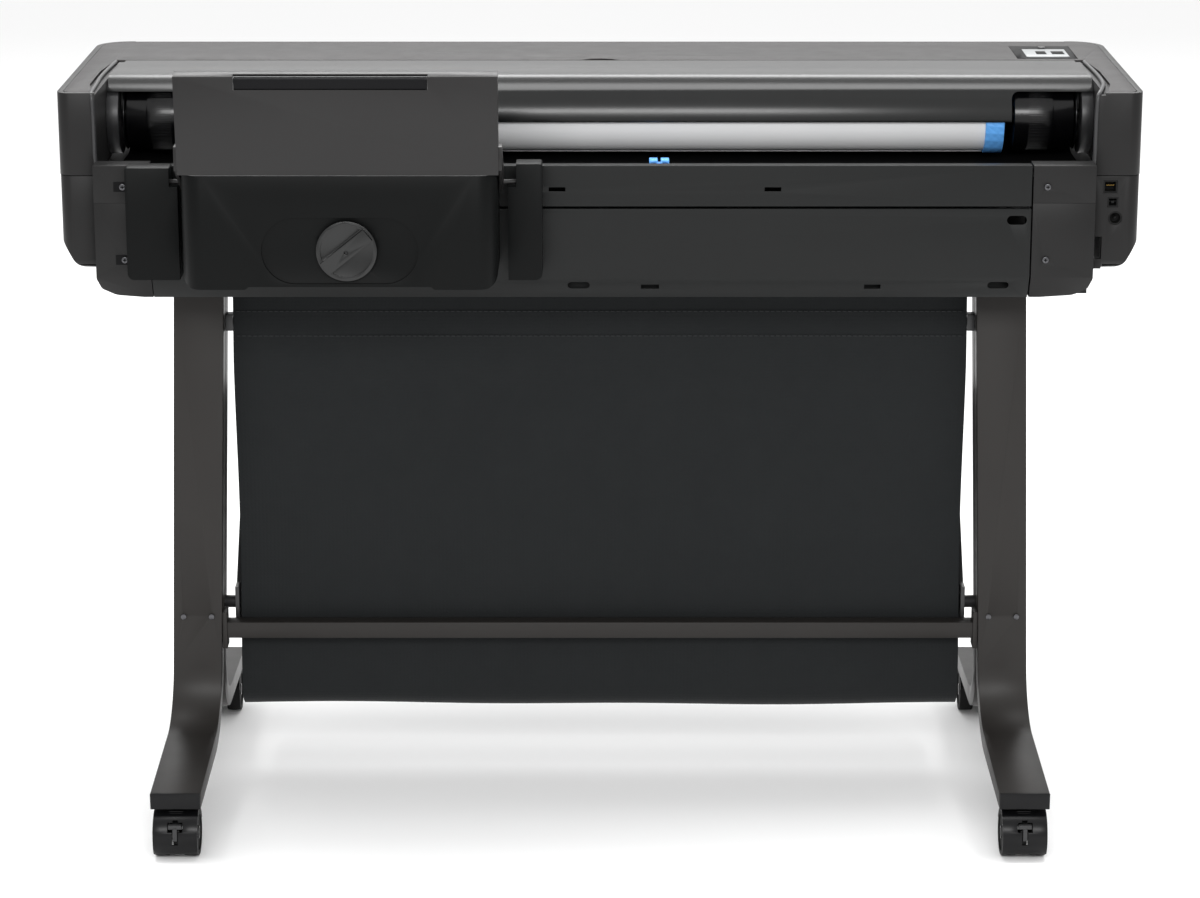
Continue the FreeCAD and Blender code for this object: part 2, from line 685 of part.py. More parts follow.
def front_side():
    """Build the front cover, its header, the window, the output chute and the ink bay."""
    span = (-INNER + 0.3, INNER - 0.3)
    front = S.body_front
    window_base = S.platen_top + S.slot_height
    wall = S.shell_wall
    outline = [
        (front - wall, 689), (front, 689), (front, S.platen_top - 4), (front - 25, S.platen_top - 4),
        (front - 25, S.platen_top - 4 - wall), (front - wall, S.platen_top - 4 - wall),
    ]
    cover = profile("X", span, outline, "Front", [(1, 2)])
    hatch_x, hatch_z, door_pin = (455, 596), (696, 776), 1
    hatch = block(hatch_x, (front - 10, front + 5), hatch_z)
    pin_at = {"y": front - wall / 2, "z": hatch_z[0] + 2.5}
    pin_bore = rod("X", (hatch_x[0] - 5, hatch_x[1] + 5), door_pin + S.run_fit, **pin_at)
    node("front_cover", cut(cover, hatch, pin_bore))

    header = profile("X", span, [
        (front - S.rim_width, S.window_top), (front, S.window_top), (front, S.body_top),
        (front - S.rim_width, S.body_top),
    ], "Header", [(2, 3)])
    node("front_header", header)

    swell = S.window_swell
    top, low = S.window_top - 2.7, window_base
    glass = profile("X", (span[0] + 1, span[1] - 1), [
        (front - wall, top), (front, top), (front + swell, top - 34), (front + swell, low),
        (front + swell - wall, low), (front + swell - wall, top - 35), (front - wall, top - 5),
    ], "Window", [(1, 3), (2, 25), (5, 22)])
    grip = block((-60, 60), (front + swell, front + swell + 5), (low, low + 4))
    pins = [
        rod("X", mirrored(side, INNER - 6, INNER + 2.5), S.hinge_pin, y=WINDOW_HINGE_Y, z=WINDOW_HINGE_Z)
        for side in (LEFT, RIGHT)
    ]
    node("front_window", fuse(glass, grip, *pins))

    lip = S.platen_top - 0.5
    chute = quarter((-520, 520), front + 1, lip - 34, 34, 31, 0, 90)
    bridge = block((-520, 520), (front - 32, front + 1), (lip - 3, lip))
    node("output_chute", fuse(bridge, chute))

    gap = 1
    door = block(
        (hatch_x[0] + gap, hatch_x[1] - gap), (front - wall, front), (hatch_z[0] + gap, hatch_z[1] - gap),
    )
    finger = block((500, 552), (front, front + 4), (766, 771))
    pin = rod("X", (hatch_x[0] - 4, hatch_x[1] + 4), door_pin, **pin_at)
    node("ink_door", fuse(door, finger, pin))
    cartridges = [
        cut(
            block((x, x + 26), (150, front - 8), (INK_BASE, INK_BASE + 60)),
            block((x + 8, x + 18), (front - 10, front), (735, 750)),
        )
        for x in (468, 498, 528, 558)
    ]
    node("ink_cartridges", group(*cartridges))
    board = block((300, 440), (-60, 60), (700, 702))
    supply = block((200, 290), (-80, 60), (696, 750))
    chips = [block((x, x + 22), (-40 + 30 * step, -20 + 30 * step), (701.5, 708))
             for step, x in enumerate((320, 360, 400))]
    spacers = [rod("Z", (PAN_TOP, 700.5), 4, x=x, y=y) for x in (308, 432) for y in (-52, 52)]
    legs = [rod("Z", (PAN_TOP, 697), 5, x=x, y=y) for x in (210, 280) for y in (-70, 50)]
    node("electronics", group(fuse(board, *chips, *spacers), fuse(supply, *legs)))


def sheet_feeder():
    """Build the sheet feeder: brackets, lower box, knob, pick roller, tray and extension."""
    left, right = -S.feeder_left, -S.feeder_right
    base, seam, back = S.feeder_base, S.feeder_seam, S.feeder_back
    face = -S.panel_face - 0.5
    ear, ear_gap = 4, 2
    wall = S.shell_wall

    reach, notch, lip = (-S.pin_back - 9, face), 10, ear + 2 * ear_gap + 3
    arms = []
    for edge, way, width, high in ((left, LEFT, 74, 852), (right, RIGHT, 52, 857)):
        near = edge + way * lip
        arm = profile("Y", reach, [
            (near, 715), (edge + way * width, 715), (edge + way * width, high), (near + way * notch, high),
            (near + way * notch, S.pin_height - 5), (near, S.pin_height - 5),
        ], "Bracket", [(1, 8), (2, 3)])
        arms.append(arm)
    pin_bore = rod("X", (-700, 0), 3 + S.run_fit, y=-S.pin_back, z=S.pin_height)
    node("feeder_brackets", group(*[cut(arm, pin_bore) for arm in arms]))

    box = profile("Z", (base, seam), [
        (left, face - 4), (left, -back), (right, -back), (right, face - 4),
    ], "FeederBox", [(1, 26), (2, 26)])
    pad, slant, lift = 75, 4, 3.5
    elevation = profile("Y", (-back - 5, 0), [
        (left, seam), (left, base), (left + pad, base), (left + pad + slant, base + lift),
        (right - pad - slant, base + lift), (right - pad, base), (right, base), (right, seam),
    ], "FeederElevation", [(1, 16), (6, 16)])
    inside = profile("Z", (base + lift + wall, seam + 1), [
        (left + wall, face - 4 - wall), (left + wall, -back + 2 * wall + 1),
        (right - wall, -back + 2 * wall + 1), (right - wall, face - 4 - wall),
    ], "FeederInside", [(1, 20), (2, 20)])
    dish_left, dish_right, dish_half = -401 + 40, -215 - 40, 40
    reach = (-back - 1, -back + S.dish_depth)
    dish = fuse(
        block((dish_left, dish_right), reach, (S.knob_height - dish_half, S.knob_height + dish_half)),
        rod("Y", reach, dish_half, x=dish_left, z=S.knob_height),
        rod("Y", reach, dish_half, x=dish_right, z=S.knob_height),
    )
    stem_bore = rod("Y", (-back, -back + 20), 6 + S.run_fit, x=-S.knob_place, z=S.knob_height)
    roller_bore = rod("X", (left - 1, right + 1), 4 + S.run_fit, y=-S.pin_back - 28, z=S.pin_height - 14)
    node("feeder_box", cut(common(box, elevation), inside, dish, stem_bore, roller_bore))

    floor = -back + S.dish_depth
    radius, thick, swell = S.knob_radius, 6, 9
    disc = rod("Y", (floor - 0.4 - thick, floor - 0.4), radius, x=-S.knob_place, z=S.knob_height)
    sunk = (floor - 1.4 - thick, floor + 2.6 - thick)
    hollow = rod("Y", sunk, radius - 5, x=-S.knob_place, z=S.knob_height)
    stem = rod("Y", (floor - 2, floor + 14), 6, x=-S.knob_place, z=S.knob_height)
    bar = document.addObject("Part::Box", "Grip")
    bind(bar, Length=radius * 2 - 6, Width=thick + swell - 3, Height=17)
    slope = FreeCAD.Rotation(FreeCAD.Vector(0, 1, 0), -39)
    corner = slope.multVec(FreeCAD.Vector(-(DRIVING_SIZES["knob_radius"] - 3), 0, -8.5))
    put(bar, -S.knob_place + corner.x, floor - 0.8 - thick - swell + 3, S.knob_height + corner.z, slope)
    pip = rod("Y", (floor - thick - swell, floor - thick), 2.6, x=-S.knob_place, z=S.knob_height)
    node("feeder_knob", fuse(cut(disc, hollow), stem, cut(bar, pip)))

    at = {"y": -S.pin_back - 28, "z": S.pin_height - 14}
    roller = rod("X", (left + 60, right - 60), S.pick_radius, **at)
    axle = rod("X", (left + 0.3, right - 0.3), 4, **at)
    node("pick_roller", fuse(roller, axle))

    lean = FreeCAD.Rotation(FreeCAD.Vector(1, 0, 0), DRIVING_SIZES["tray_lean"])

    def leaning(x, depth, height, name="Leaning"):
        """Return a box in the tray's own leaning frame, which starts at its lower rear edge."""
        (x0, x1), (d0, d1), (h0, h1) = ordered(x), ordered(depth), ordered(height)
        box = document.addObject("Part::Box", name)
        bind(box, Length=x1 - x0, Width=d1 - d0, Height=h1 - h0)
        shift = lean.multVec(FreeCAD.Vector(0, d0.value, h0.value))
        return put(box, x0, -back + 0.8 + shift.y, seam + 0.9 + shift.z, lean)

    depth, tall = S.tray_depth, S.tray_height
    tray_left, tray_right = left - ear_gap, right + ear_gap
    shell = leaning((tray_left, tray_right), (0, depth), (0, tall))
    hollow = leaning((tray_left + wall, tray_right - wall), (wall, depth + 1), (-1, tall - wall))
    bay_left, bay_right = -428, -201
    notch = leaning((bay_left, bay_right), (-1, 11), (tall - 16, tall + 1))
    slot = leaning((bay_left, bay_right), (-1 + wall, 11), (tall - 20, tall + 1))
    ears = []
    for edge, way in ((left, LEFT), (right, RIGHT)):
        near, far = edge + way * ear_gap, edge + way * (ear_gap + ear)
        arm = profile("X", (near, far), [
            (-S.pin_back - 9, S.pin_height - 9), (-S.pin_back + 9, S.pin_height - 9),
            (-S.pin_back + 9, S.pin_height + 12), (-back + 26, seam + 34), (-back + 4, seam + 34),
            (-back + 4, seam + 6),
        ], "Ear", [(0, 6), (1, 6)])
        pin = rod("X", (near + way * 1, far + way * 20), 3, y=-S.pin_back, z=S.pin_height)
        ears += [arm, pin]
    node("feeder_tray", fuse(cut(shell, hollow, notch, slot), *ears))

    gap = 0.6
    tongue = leaning((bay_left + gap, bay_right - gap), (wall + 0.5, wall + 3.5), (8, tall - 8))
    handle = leaning((bay_left + gap, bay_right - gap), (1, 10), (tall - 15.4, tall - 3))
    node("tray_extension", fuse(tongue, handle))


def leg_line(height):
    """Return how far from the middle a leg's centre line stands at a height: the legs splay."""
    top = S.body_base - S.plate_gauge
    return S.leg_top + (S.leg_foot - S.leg_top) * ((top - height) / (top - S.foot_base))


def leg(side, tag):
    """Build one leg: two flat tubes back to back that splay, then bend out into the feet."""
    half = S.leg_width / 2
    top, wall, gap = S.body_base - S.plate_gauge, S.leg_wall, 1.5
    base, tip, root = S.foot_base, S.foot_base + S.foot_tip, S.foot_base + S.foot_root
    under = S.bend_radius + S.leg_depth

    def elevation(inset, name):
        """Return the leg's slanted outline seen from behind, from front to rear."""
        width = half - inset
        foot, head = S.leg_foot * side, S.leg_top * side
        reach = (-S.foot_reach - 20, S.foot_reach + 20)
        return profile("Y", reach, [
            (head - width, top), (head + width, top), (foot + width, base), (foot - width, base),
        ], name)

    tubes = []
    across = mirrored(side, S.leg_top - 60, S.leg_foot + 60)
    for way in (-1, 1):
        depth, reach = S.leg_depth * way, S.foot_reach * way
        outer = profile("X", across, [
            (gap * way, top), (depth, top), (depth, root), (reach, tip), (reach, base),
            (gap * way, base + 8),
        ], "Tube", [(2, S.bend_radius), (5, under)])
        inner = profile("X", across, [
            ((gap + wall) * way, top + 1), (depth - wall * way, top + 1), (depth - wall * way, root - wall),
            (reach + way * 5, tip - wall - 0.4), (reach + way * 5, base + wall),
            ((gap + wall) * way, base + 8 + wall),
        ], "Bore", [(2, S.bend_radius + wall), (5, under - wall)])
        stem = rod("Z", (base - 1, base + 14), 5.5 + S.run_fit, x=S.leg_foot * side, y=S.swivel_reach * way)
        holes = [
            rod("Y", (-S.leg_depth - 1, -S.leg_depth + 5), LEG_SCREW + S.run_fit,
                x=leg_line(LEG_SCREW_HEIGHT) * side + shift, z=LEG_SCREW_HEIGHT)
            for shift in LEG_SCREW_SHIFTS
        ]
        tube = cut(common(outer, elevation(0, "Slant")), common(inner, elevation(wall, "SlantBore")), stem)
        tubes.append(cut(tube, *holes) if way < 0 else tube)
    node(f"leg_{tag}", group(*tubes))


def stand():
    """Build the legs, their caps and brackets, the crossbar and the catch bin's rods and arms."""
    leg(LEFT, "left")
    leg(RIGHT, "right")
    caps = []
    plates = []
    supports = []
    half, wall = S.leg_width / 2, S.leg_wall
    low, high = S.bar_base, S.bar_base + S.bar_height
    arm_face = leg_line(high) - half - 6
    rod_face = leg_line(S.rod_height) - half
    for side in (LEFT, RIGHT):
        x = S.leg_foot * side
        for way in (-1, 1):
            reach = S.foot_reach * way
            inside = ((x - half + wall + 1.2), (x + half - wall - 1.2))
            tip = S.foot_base + S.foot_tip
            plug = block(inside, (reach - 14 * way, reach), (S.foot_base + wall + 0.8, tip - 4))
            lid = block((x - half, x + half), (reach, reach + 2.5 * way), (S.foot_base, tip))
            caps.append(fuse(plug, lid))
        top, head = S.body_base, S.leg_top * side
        plates.append(block((head - half - 6, head + half + 6), (-70, 70), (top - S.plate_gauge, top)))
        cheek_face = leg_line(high + 14) - half
        plates.append(block(mirrored(side, cheek_face - 6, cheek_face), (-30, -4), (low - 14, high + 14)))
        arm = profile("X", mirrored(side, S.bin_half + 3, S.bin_half + 8), [
            (-2, 206), (36, 206), (S.bin_front + 2, S.bin_mouth - 4), (S.bin_front + 10, S.bin_mouth + 10),
            (S.bin_front - 10, S.bin_mouth + 14), (22, 262), (-2, 262),
        ], "Arm", [(3, 6), (4, 6)])
        pivot = rod("X", mirrored(side, S.bin_half + 6, leg_line(246) - half), 8, y=14, z=238)
        rod_block = block(
            mirrored(side, S.bin_half + 1.5, rod_face - 0.4), (-2, 18),
            (S.rod_height - 10, S.rod_height + 10.5),
        )
        supports += [fuse(arm, pivot), rod_block]
    node("foot_caps", group(*caps))
    node("stand_brackets", group(*plates))

    span = (-cheek_face + 6, cheek_face - 6)
    bar = cut(
        block(span, (-29, -6), (low, high)),
        block((span[0] - 1, span[1] + 1), (-27, -8), (low + 2, high - 2)),
    )
    node("crossbar", bar)

    rods = []
    for y, z, end in ((7.2, S.rod_height, rod_face - 1.5), (S.bin_front, S.bin_mouth, S.bin_half + 7)):
        rods.append(rod("X", (-end, end), S.rod_radius, y=y, z=z))
    bores = [
        rod("X", (-700, 700), S.rod_radius, y=7.2, z=S.rod_height),
        rod("X", (-700, 700), S.rod_radius, y=S.bin_front, z=S.bin_mouth),
    ]
    node("bin_rods", group(*rods))
    node("bin_arms", group(*[cut(piece, *bores) for piece in supports]))

    gauge = S.cloth_gauge
    low, back = S.bin_base, gauge / 2
    front_top = S.bin_front - S.rod_radius - 1
    cloth = profile("X", (-S.bin_half, S.bin_half), [
        (-back, top - 1), (-back, low), (S.bin_depth, low), (front_top, S.bin_mouth),
        (front_top - gauge, S.bin_mouth), (S.bin_depth - gauge, low + gauge), (back, low + gauge),
        (back, top - 1),
    ], "Cloth", [(1, 45), (2, 45), (5, 42), (6, 42)])
    node("catch_bin", cloth)


def caster(side, way, tag):
    """Build one twin-wheel caster: swivel fork with its hood, wheels with axle, brake pedal."""
    x = S.leg_foot * side
    swivel, centre, radius = S.swivel_reach * way, S.wheel_reach * way, S.wheel_radius
    inner, wide = S.wheel_inner, S.wheel_width
    hood_in, hood_out = radius + S.hood_gap, radius + S.hood_gap + S.hood_gauge
    crown = radius + hood_out
    full = (x - inner - wide, x + inner + wide)
    axle_at = {"y": centre, "z": radius}

    def ahead(near, far):
        """Return a span of Y measured from the axle towards the outer end of the foot."""
        return (centre + near * way, centre + far * way)

    stem = rod("Z", (crown - 3, S.foot_base + 12), 5.5, x=x, y=swivel)
    collar = rod("Z", (crown - 2, S.foot_base - 0.6), 11, x=x, y=swivel)
    web = rod("X", (x - 4, x + 4), 17, **axle_at)
    neck = block((x - 4, x + 4), (centre - 8 * way, swivel - 6 * way), (radius, crown - 1))
    hood = cut(rod("X", full, hood_out, **axle_at), rod("X", (full[0] - 1, full[1] + 1), hood_in, **axle_at))
    keep = fuse(
        block((x - 40, x + 40), ahead(-60, 60), (radius + 9, crown + 10)),
        block((x - 40, x + 40), ahead(0, 60), (8, radius + 10)),
    )
    between = (x - inner + 0.6, x + inner - 0.6)
    bridge = block(between, (centre + 9 * way, swivel - 9 * way), (crown - 5, crown - 0.5))
    lugs = block((x - 7.4, x + 7.4), ahead(4, 12), (radius + 12, crown - 2))
    arm_slot = block((x - 3.4, x + 3.4), ahead(3, 27), (radius + 8, crown - 8))
    pedal_slot = fuse(
        block((x - 9.4, x + 9.4), ahead(14, 60), (radius + 10, radius + 21)),
        block((x - 3.8, x + 3.8), ahead(14, 60), (radius - 6, radius + 11)),
    )
    pin_at = {"y": centre + 8 * way, "z": radius + 16}
    bore = rod("X", (x - 3 - inner, x + 3 + inner), 3 + S.run_fit, **axle_at)
    pin_bore = rod("X", (x - 9, x + 9), 1.5 + S.run_fit, **pin_at)
    shell = common(hood, keep)
    if way < 0:
        shell = cut(shell, pedal_slot)
    fork = cut(fuse(web, neck, shell, bridge, stem, collar, lugs), arm_slot, bore, pin_bore)
    node(f"caster_fork_{tag}", fork)

    discs = [
        cut(
            rod("X", span, radius, **axle_at),
            rod("X", face, radius - 6, **axle_at),
        )
        for span, face in (
            ((x - inner - wide, x - inner), (x - inner - wide - 1, x - inner - wide + 2)),
            ((x + inner, x + inner + wide), (x + inner + wide - 2, x + inner + wide + 1)),
        )
    ]
    axle = rod("X", (x - inner - wide + 4, x + inner + wide - 4), 3, **axle_at)
    node(f"caster_wheels_{tag}", fuse(*discs, axle))
    if way > 0:
        return
    arm = block((x - 2.6, x + 2.6), ahead(5.5, 26), (radius + 13.5, radius + 18.5))
    bar = block((x - 8, x + 8), ahead(22, 28.5), (radius + 14, radius + 19))
    drop = block((x - 2.6, x + 2.6), ahead(24, 30), (radius - 1, radius + 15))
    pin = rod("X", (x - 7, x + 7), 1.5, **pin_at)
    node(f"caster_pedal_{tag}", fuse(arm, bar, drop, pin))


def check_document():
    """Recompute the model and refuse any object that failed or any sub-part that isn't valid."""
    document.recompute()
    for thing in document.Objects:
        if "Invalid" in thing.State or "Error" in thing.State:
            raise RuntimeError(f"{thing.Name} ({thing.Label}) failed: {thing.State}")
    for name, thing in NODES.items():
        shape = thing.Shape
        if shape.isNull() or not shape.isValid() or not shape.Solids:
            raise RuntimeError(f"{name} isn't a valid solid")


for housing_side, housing_tag in ((LEFT, "left"), (RIGHT, "right")):
    end_housing(housing_side, housing_tag)
sockets()
top_and_panel()
rear_sheets()
screws()
chassis()
cradles()
spindle()
roll_cover()
print_zone()
front_side()
sheet_feeder()
stand()
for caster_side, side_name in ((LEFT, "left"), (RIGHT, "right")):
    for caster_way, way_name in ((-1, "rear"), (1, "front")):
        caster(caster_side, caster_way, f"{way_name}_{side_name}")

check_document()
os.makedirs("parts", exist_ok=True)
for node_name, thing in NODES.items():
    thing.Shape.exportStep(f"parts/{node_name}.step")
print(len(NODES), "sub-parts written")
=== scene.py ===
"""Looks of a large format plotter on its wheeled stand.

The frame holds the engineering model. Each class below takes one sub-assembly of it,
eases the edges of its moulded and folded parts, gives every part its finish, and adds
the small pieces that the engineering model leaves out.
"""
import json
import logging
import math
from dataclasses import dataclass, field
from enum import Enum
from typing import Callable, Sequence

import bpy
from mathutils import Matrix, Vector


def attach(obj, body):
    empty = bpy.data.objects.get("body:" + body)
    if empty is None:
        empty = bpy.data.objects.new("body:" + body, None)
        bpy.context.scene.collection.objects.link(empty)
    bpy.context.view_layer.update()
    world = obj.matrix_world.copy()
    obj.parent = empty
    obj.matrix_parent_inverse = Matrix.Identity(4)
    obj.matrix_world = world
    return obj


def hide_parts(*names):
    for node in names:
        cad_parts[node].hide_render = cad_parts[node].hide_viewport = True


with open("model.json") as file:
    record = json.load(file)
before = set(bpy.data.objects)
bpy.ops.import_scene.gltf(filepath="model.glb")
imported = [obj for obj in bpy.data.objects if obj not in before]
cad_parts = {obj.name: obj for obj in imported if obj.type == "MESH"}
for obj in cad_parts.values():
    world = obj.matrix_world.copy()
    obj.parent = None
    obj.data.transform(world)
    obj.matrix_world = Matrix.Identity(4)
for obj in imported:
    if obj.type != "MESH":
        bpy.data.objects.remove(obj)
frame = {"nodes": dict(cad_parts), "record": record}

LOG = logging.getLogger("plotter")
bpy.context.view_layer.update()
MM = 0.001
Spot = tuple[float, float, float]
WAVE_TURN = 2 * math.pi
CLOTH_CUT = (0.93, 1.1, 1.0)

# Edges: widths in millimetres, angles in degrees.
USUAL_EDGE = 0.6
EDGE_ANGLE = 32.0
SMOOTH_MARGIN = 8.0
SOFT_ANGLE = 50.0
FLAT_ANGLE = 0.5
MERGE_GAP = 0.01
ROUND_SIDES = 48

# Shaders: noise scales are per metre.
BLOTCH_SCALE = 9.0
WEAR_SCALE = 34.0
COAT_ROUGHNESS = 0.08
LEAST_ROUGHNESS = 0.02
BUMP_STRENGTH = 0.6
BRUSH_STRETCH = 4.0
THREAD_WAVER = 0.6
KNURL_TILT = 0.7


# --------------------------------------------------------------------------- colour and nodes

def linear(colour: str) -> tuple[float, float, float, float]:
    """Turn an sRGB hex colour into linear light.

    Args:
        colour: The colour as "#rrggbb".

    Returns:
        Red, green, blue and an alpha of one.
    """
    channels = [int(colour[start:start + 2], 16) / 255 for start in (1, 3, 5)]
    curve = [c / 12.92 if c <= 0.04045 else ((c + 0.055) / 1.055) ** 2.4 for c in channels]
    return (curve[0], curve[1], curve[2], 1.0)


def add(
    tree: bpy.types.NodeTree, kind: str, settings: dict | None = None, links: dict | None = None,
) -> bpy.types.Node:
    """Add one shader node with its settings and its incoming links.

    Args:
        tree: The material's node tree.
        kind: The node's type name without the ShaderNode part.
        settings: Property names, or input names and numbers, with their values.
        links: Input names or numbers with the output socket that feeds each.

    Returns:
        The new node.
    """
    made = tree.nodes.new("ShaderNode" + kind)
    for name, value in (settings or {}).items():
        if isinstance(name, str) and hasattr(made, name):
            setattr(made, name, value)
        else:
            made.inputs[name].default_value = value
    for name, socket in (links or {}).items():
        tree.links.new(socket, made.inputs[name])
    return made


class Pattern(Enum):
    """How a surface was made, which gives it its fine relief."""

    MOULDED = "moulded"
    POWDER = "powder"
    BRUSHED = "brushed"
    WOVEN = "woven"
    KNURLED = "knurled"
    FIBROUS = "fibrous"
    POLISHED = "polished"


@dataclass(frozen=True)
class Finish:
    """One real material: its name, colours, gloss and fine relief."""

    name: str
    colour: str
    shade: str
    roughness: float
    pattern: Pattern
    pitch: float
    relief: float
    metallic: float = 0.0
    coat: float = 0.0
    spread: float = 0.06
    sheen: float = 0.0
    specular: float = 0.5
    ior: float = 1.5

    def build(self) -> bpy.types.Material:
        """Make the material.

        Returns:
            The material, or the one already made under this name.
        """
        if self.name in bpy.data.materials:
            return bpy.data.materials[self.name]
        material = bpy.data.materials.new(self.name)
        material.use_nodes = True
        tree = material.node_tree
        surface = tree.nodes["Principled BSDF"]
        surface.inputs["Metallic"].default_value = self.metallic
        surface.inputs["Coat Weight"].default_value = self.coat
        surface.inputs["Coat Roughness"].default_value = COAT_ROUGHNESS
        surface.inputs["Sheen Weight"].default_value = self.sheen
        surface.inputs["Specular IOR Level"].default_value = self.specular
        surface.inputs["IOR"].default_value = self.ior
        place = add(tree, "TexCoord").outputs["Object"]
        blotch = add(tree, "TexNoise", {"Scale": BLOTCH_SCALE, "Detail": 3.0}, {"Vector": place})
        pair = {1: linear(self.colour), 2: linear(self.shade)}
        tone = add(tree, "MixRGB", pair, {0: blotch.outputs["Fac"]})
        tree.links.new(tone.outputs[0], surface.inputs["Base Color"])
        grain = {"Scale": WEAR_SCALE, "Detail": 6.0, "Roughness": 0.6}
        wear = add(tree, "TexNoise", grain, {"Vector": place})
        least = max(LEAST_ROUGHNESS, self.roughness - self.spread)
        limits = {3: least, 4: self.roughness + self.spread}
        gloss = add(tree, "MapRange", limits, {0: wear.outputs["Fac"]})
        tree.links.new(gloss.outputs[0], surface.inputs["Roughness"])
        height = self.height(tree, place)
        bump = add(tree, "Bump", {"Distance": self.relief, "Strength": BUMP_STRENGTH}, {"Height": height})
        tree.links.new(bump.outputs[0], surface.inputs["Normal"])
        return material

    def height(self, tree: bpy.types.NodeTree, place: bpy.types.NodeSocket) -> bpy.types.NodeSocket:
        """Draw the fine relief of the surface.

        Args:
            tree: The material's node tree.
            place: The socket with the point's place in metres.

        Returns:
            The socket that holds the relief's height.
        """
        scale = 1 / self.pitch
        if self.pattern is Pattern.BRUSHED:
            run = add(tree, "Mapping", {"Scale": (BRUSH_STRETCH, scale, scale)}, {"Vector": place})
            lines = add(tree, "TexNoise", {"Scale": 1.0, "Detail": 2.0}, {"Vector": run.outputs[0]})
            return lines.outputs["Fac"]
        if self.pattern is Pattern.WOVEN:
            threads = []
            on_cloth = add(tree, "TexCoord").outputs["UV"]
            real = add(tree, "Mapping", {"Scale": CLOTH_CUT}, {"Vector": on_cloth}).outputs[0]
            for direction in ("X", "Y"):
                wave = add(
                    tree, "TexWave",
                    {
                        "bands_direction": direction, "Scale": scale / WAVE_TURN,
                        "Distortion": THREAD_WAVER,
                    },
                    {"Vector": real},
                )
                threads.append(wave.outputs["Fac"])
            return add(tree, "Math", {"operation": "MULTIPLY"}, {0: threads[0], 1: threads[1]}).outputs[0]
        if self.pattern is Pattern.KNURLED:
            bands = []
            for tilt in (-KNURL_TILT, KNURL_TILT):
                turned = add(tree, "Mapping", {"Rotation": (tilt, 0.0, tilt)}, {"Vector": place})
                wave = add(
                    tree, "TexWave", {"bands_direction": "DIAGONAL", "Scale": scale / WAVE_TURN},
                    {"Vector": turned.outputs[0]},
                )
                bands.append(wave.outputs["Fac"])
            return add(tree, "Math", {"operation": "MAXIMUM"}, {0: bands[0], 1: bands[1]}).outputs[0]
        kind = "TexVoronoi" if self.pattern is Pattern.MOULDED else "TexNoise"
        texture = add(tree, kind, {"Scale": scale}, {"Vector": place})
        return texture.outputs[0]


# The specular levels and the bezel's index of refraction are chosen for this studio's lights. They aren't
# measured properties of the materials.

# Injection-moulded ABS with a spark-eroded grain: a soft, even sheen with no mirror image.
SHELL = Finish(
    "abs_spark_grain_black", "#191818", "#151515", 0.40, Pattern.MOULDED,
    1.1 * MM, 0.05 * MM, specular=0.20,
)
# Painted light: the shell's black ABS coloured lighter, to stand in for the light that falls on the upward
# faces of the lid and the front header.
SHELL_PAINTED_TOP_LIGHT = Finish(
    "abs_black_painted_top_light", "#2a2828", "#272525", 0.46, Pattern.MOULDED,
    1.0 * MM, 0.04 * MM, specular=0.2,
)
FEEDER = Finish(
    "abs_feeder_black", "#0b0c0c", "#090a0a", 0.42, Pattern.MOULDED,
    1.1 * MM, 0.05 * MM, specular=0.08,
)
# Painted light: the feeder's black ABS coloured lighter for the upward-facing tray, to stand in for the light
# that falls on it.
FEEDER_PAINTED_TOP_LIGHT = Finish(
    "abs_feeder_black_painted_top_light", "#1b1a1a", "#181717", 0.34, Pattern.MOULDED,
    1.1 * MM, 0.04 * MM, specular=0.3,
)
# Polished ABS: clear reflections of the lights with slightly wavy edges.
GLOSS = Finish(
    "abs_polished_black", "#030304", "#050506", 0.2, Pattern.POLISHED,
    30 * MM, 0.03 * MM, spread=0.03, specular=0.36,
)
COVER = Finish(
    "abs_cover_semi_gloss", "#0b0c0c", "#090a0a", 0.25, Pattern.POLISHED,
    24 * MM, 0.04 * MM, spread=0.03, specular=0.42,
)
SATIN = Finish(
    "abs_satin_grey", "#2c2c2d", "#262627", 0.36, Pattern.MOULDED,
    0.9 * MM, 0.03 * MM, specular=0.4,
)
# Powder-coated steel: a fine orange peel that breaks up the sheen.
PANEL = Finish(
    "powder_coated_panel", "#171818", "#141515", 0.44, Pattern.POWDER,
    1.6 * MM, 0.06 * MM, specular=0.17,
)
STAND = Finish(
    "powder_coated_stand", "#262422", "#22201f", 0.42, Pattern.POWDER,
    1.6 * MM, 0.06 * MM, specular=0.22,
)
BAY = Finish(
    "abs_matt_bay_black", "#050506", "#070708", 0.66, Pattern.MOULDED,
    1.4 * MM, 0.05 * MM, specular=0.12,
)
BLUE = Finish("knurled_nylon_blue", "#6cb4fa", "#5aa4f0", 0.42, Pattern.KNURLED, 3.6 * MM, 0.9 * MM)
PAPER = Finish(
    "uncoated_paper_white", "#e8e8e9", "#e2e3e4", 0.72, Pattern.FIBROUS,
    0.8 * MM, 0.02 * MM, specular=0.2,
)
KRAFT = Finish(
    "wound_card_core", "#8d7a62", "#7d6b55", 0.8, Pattern.FIBROUS,
    0.8 * MM, 0.05 * MM, specular=0.2,
)
RUBBER = Finish(
    "moulded_rubber", "#101010", "#0c0c0c", 0.7, Pattern.MOULDED,
    1.0 * MM, 0.06 * MM, specular=0.2,
)
WHEEL = Finish(
    "nylon_wheel_black", "#0a0a0b", "#08080a", 0.3, Pattern.POLISHED,
    6 * MM, 0.03 * MM, specular=0.2,
)
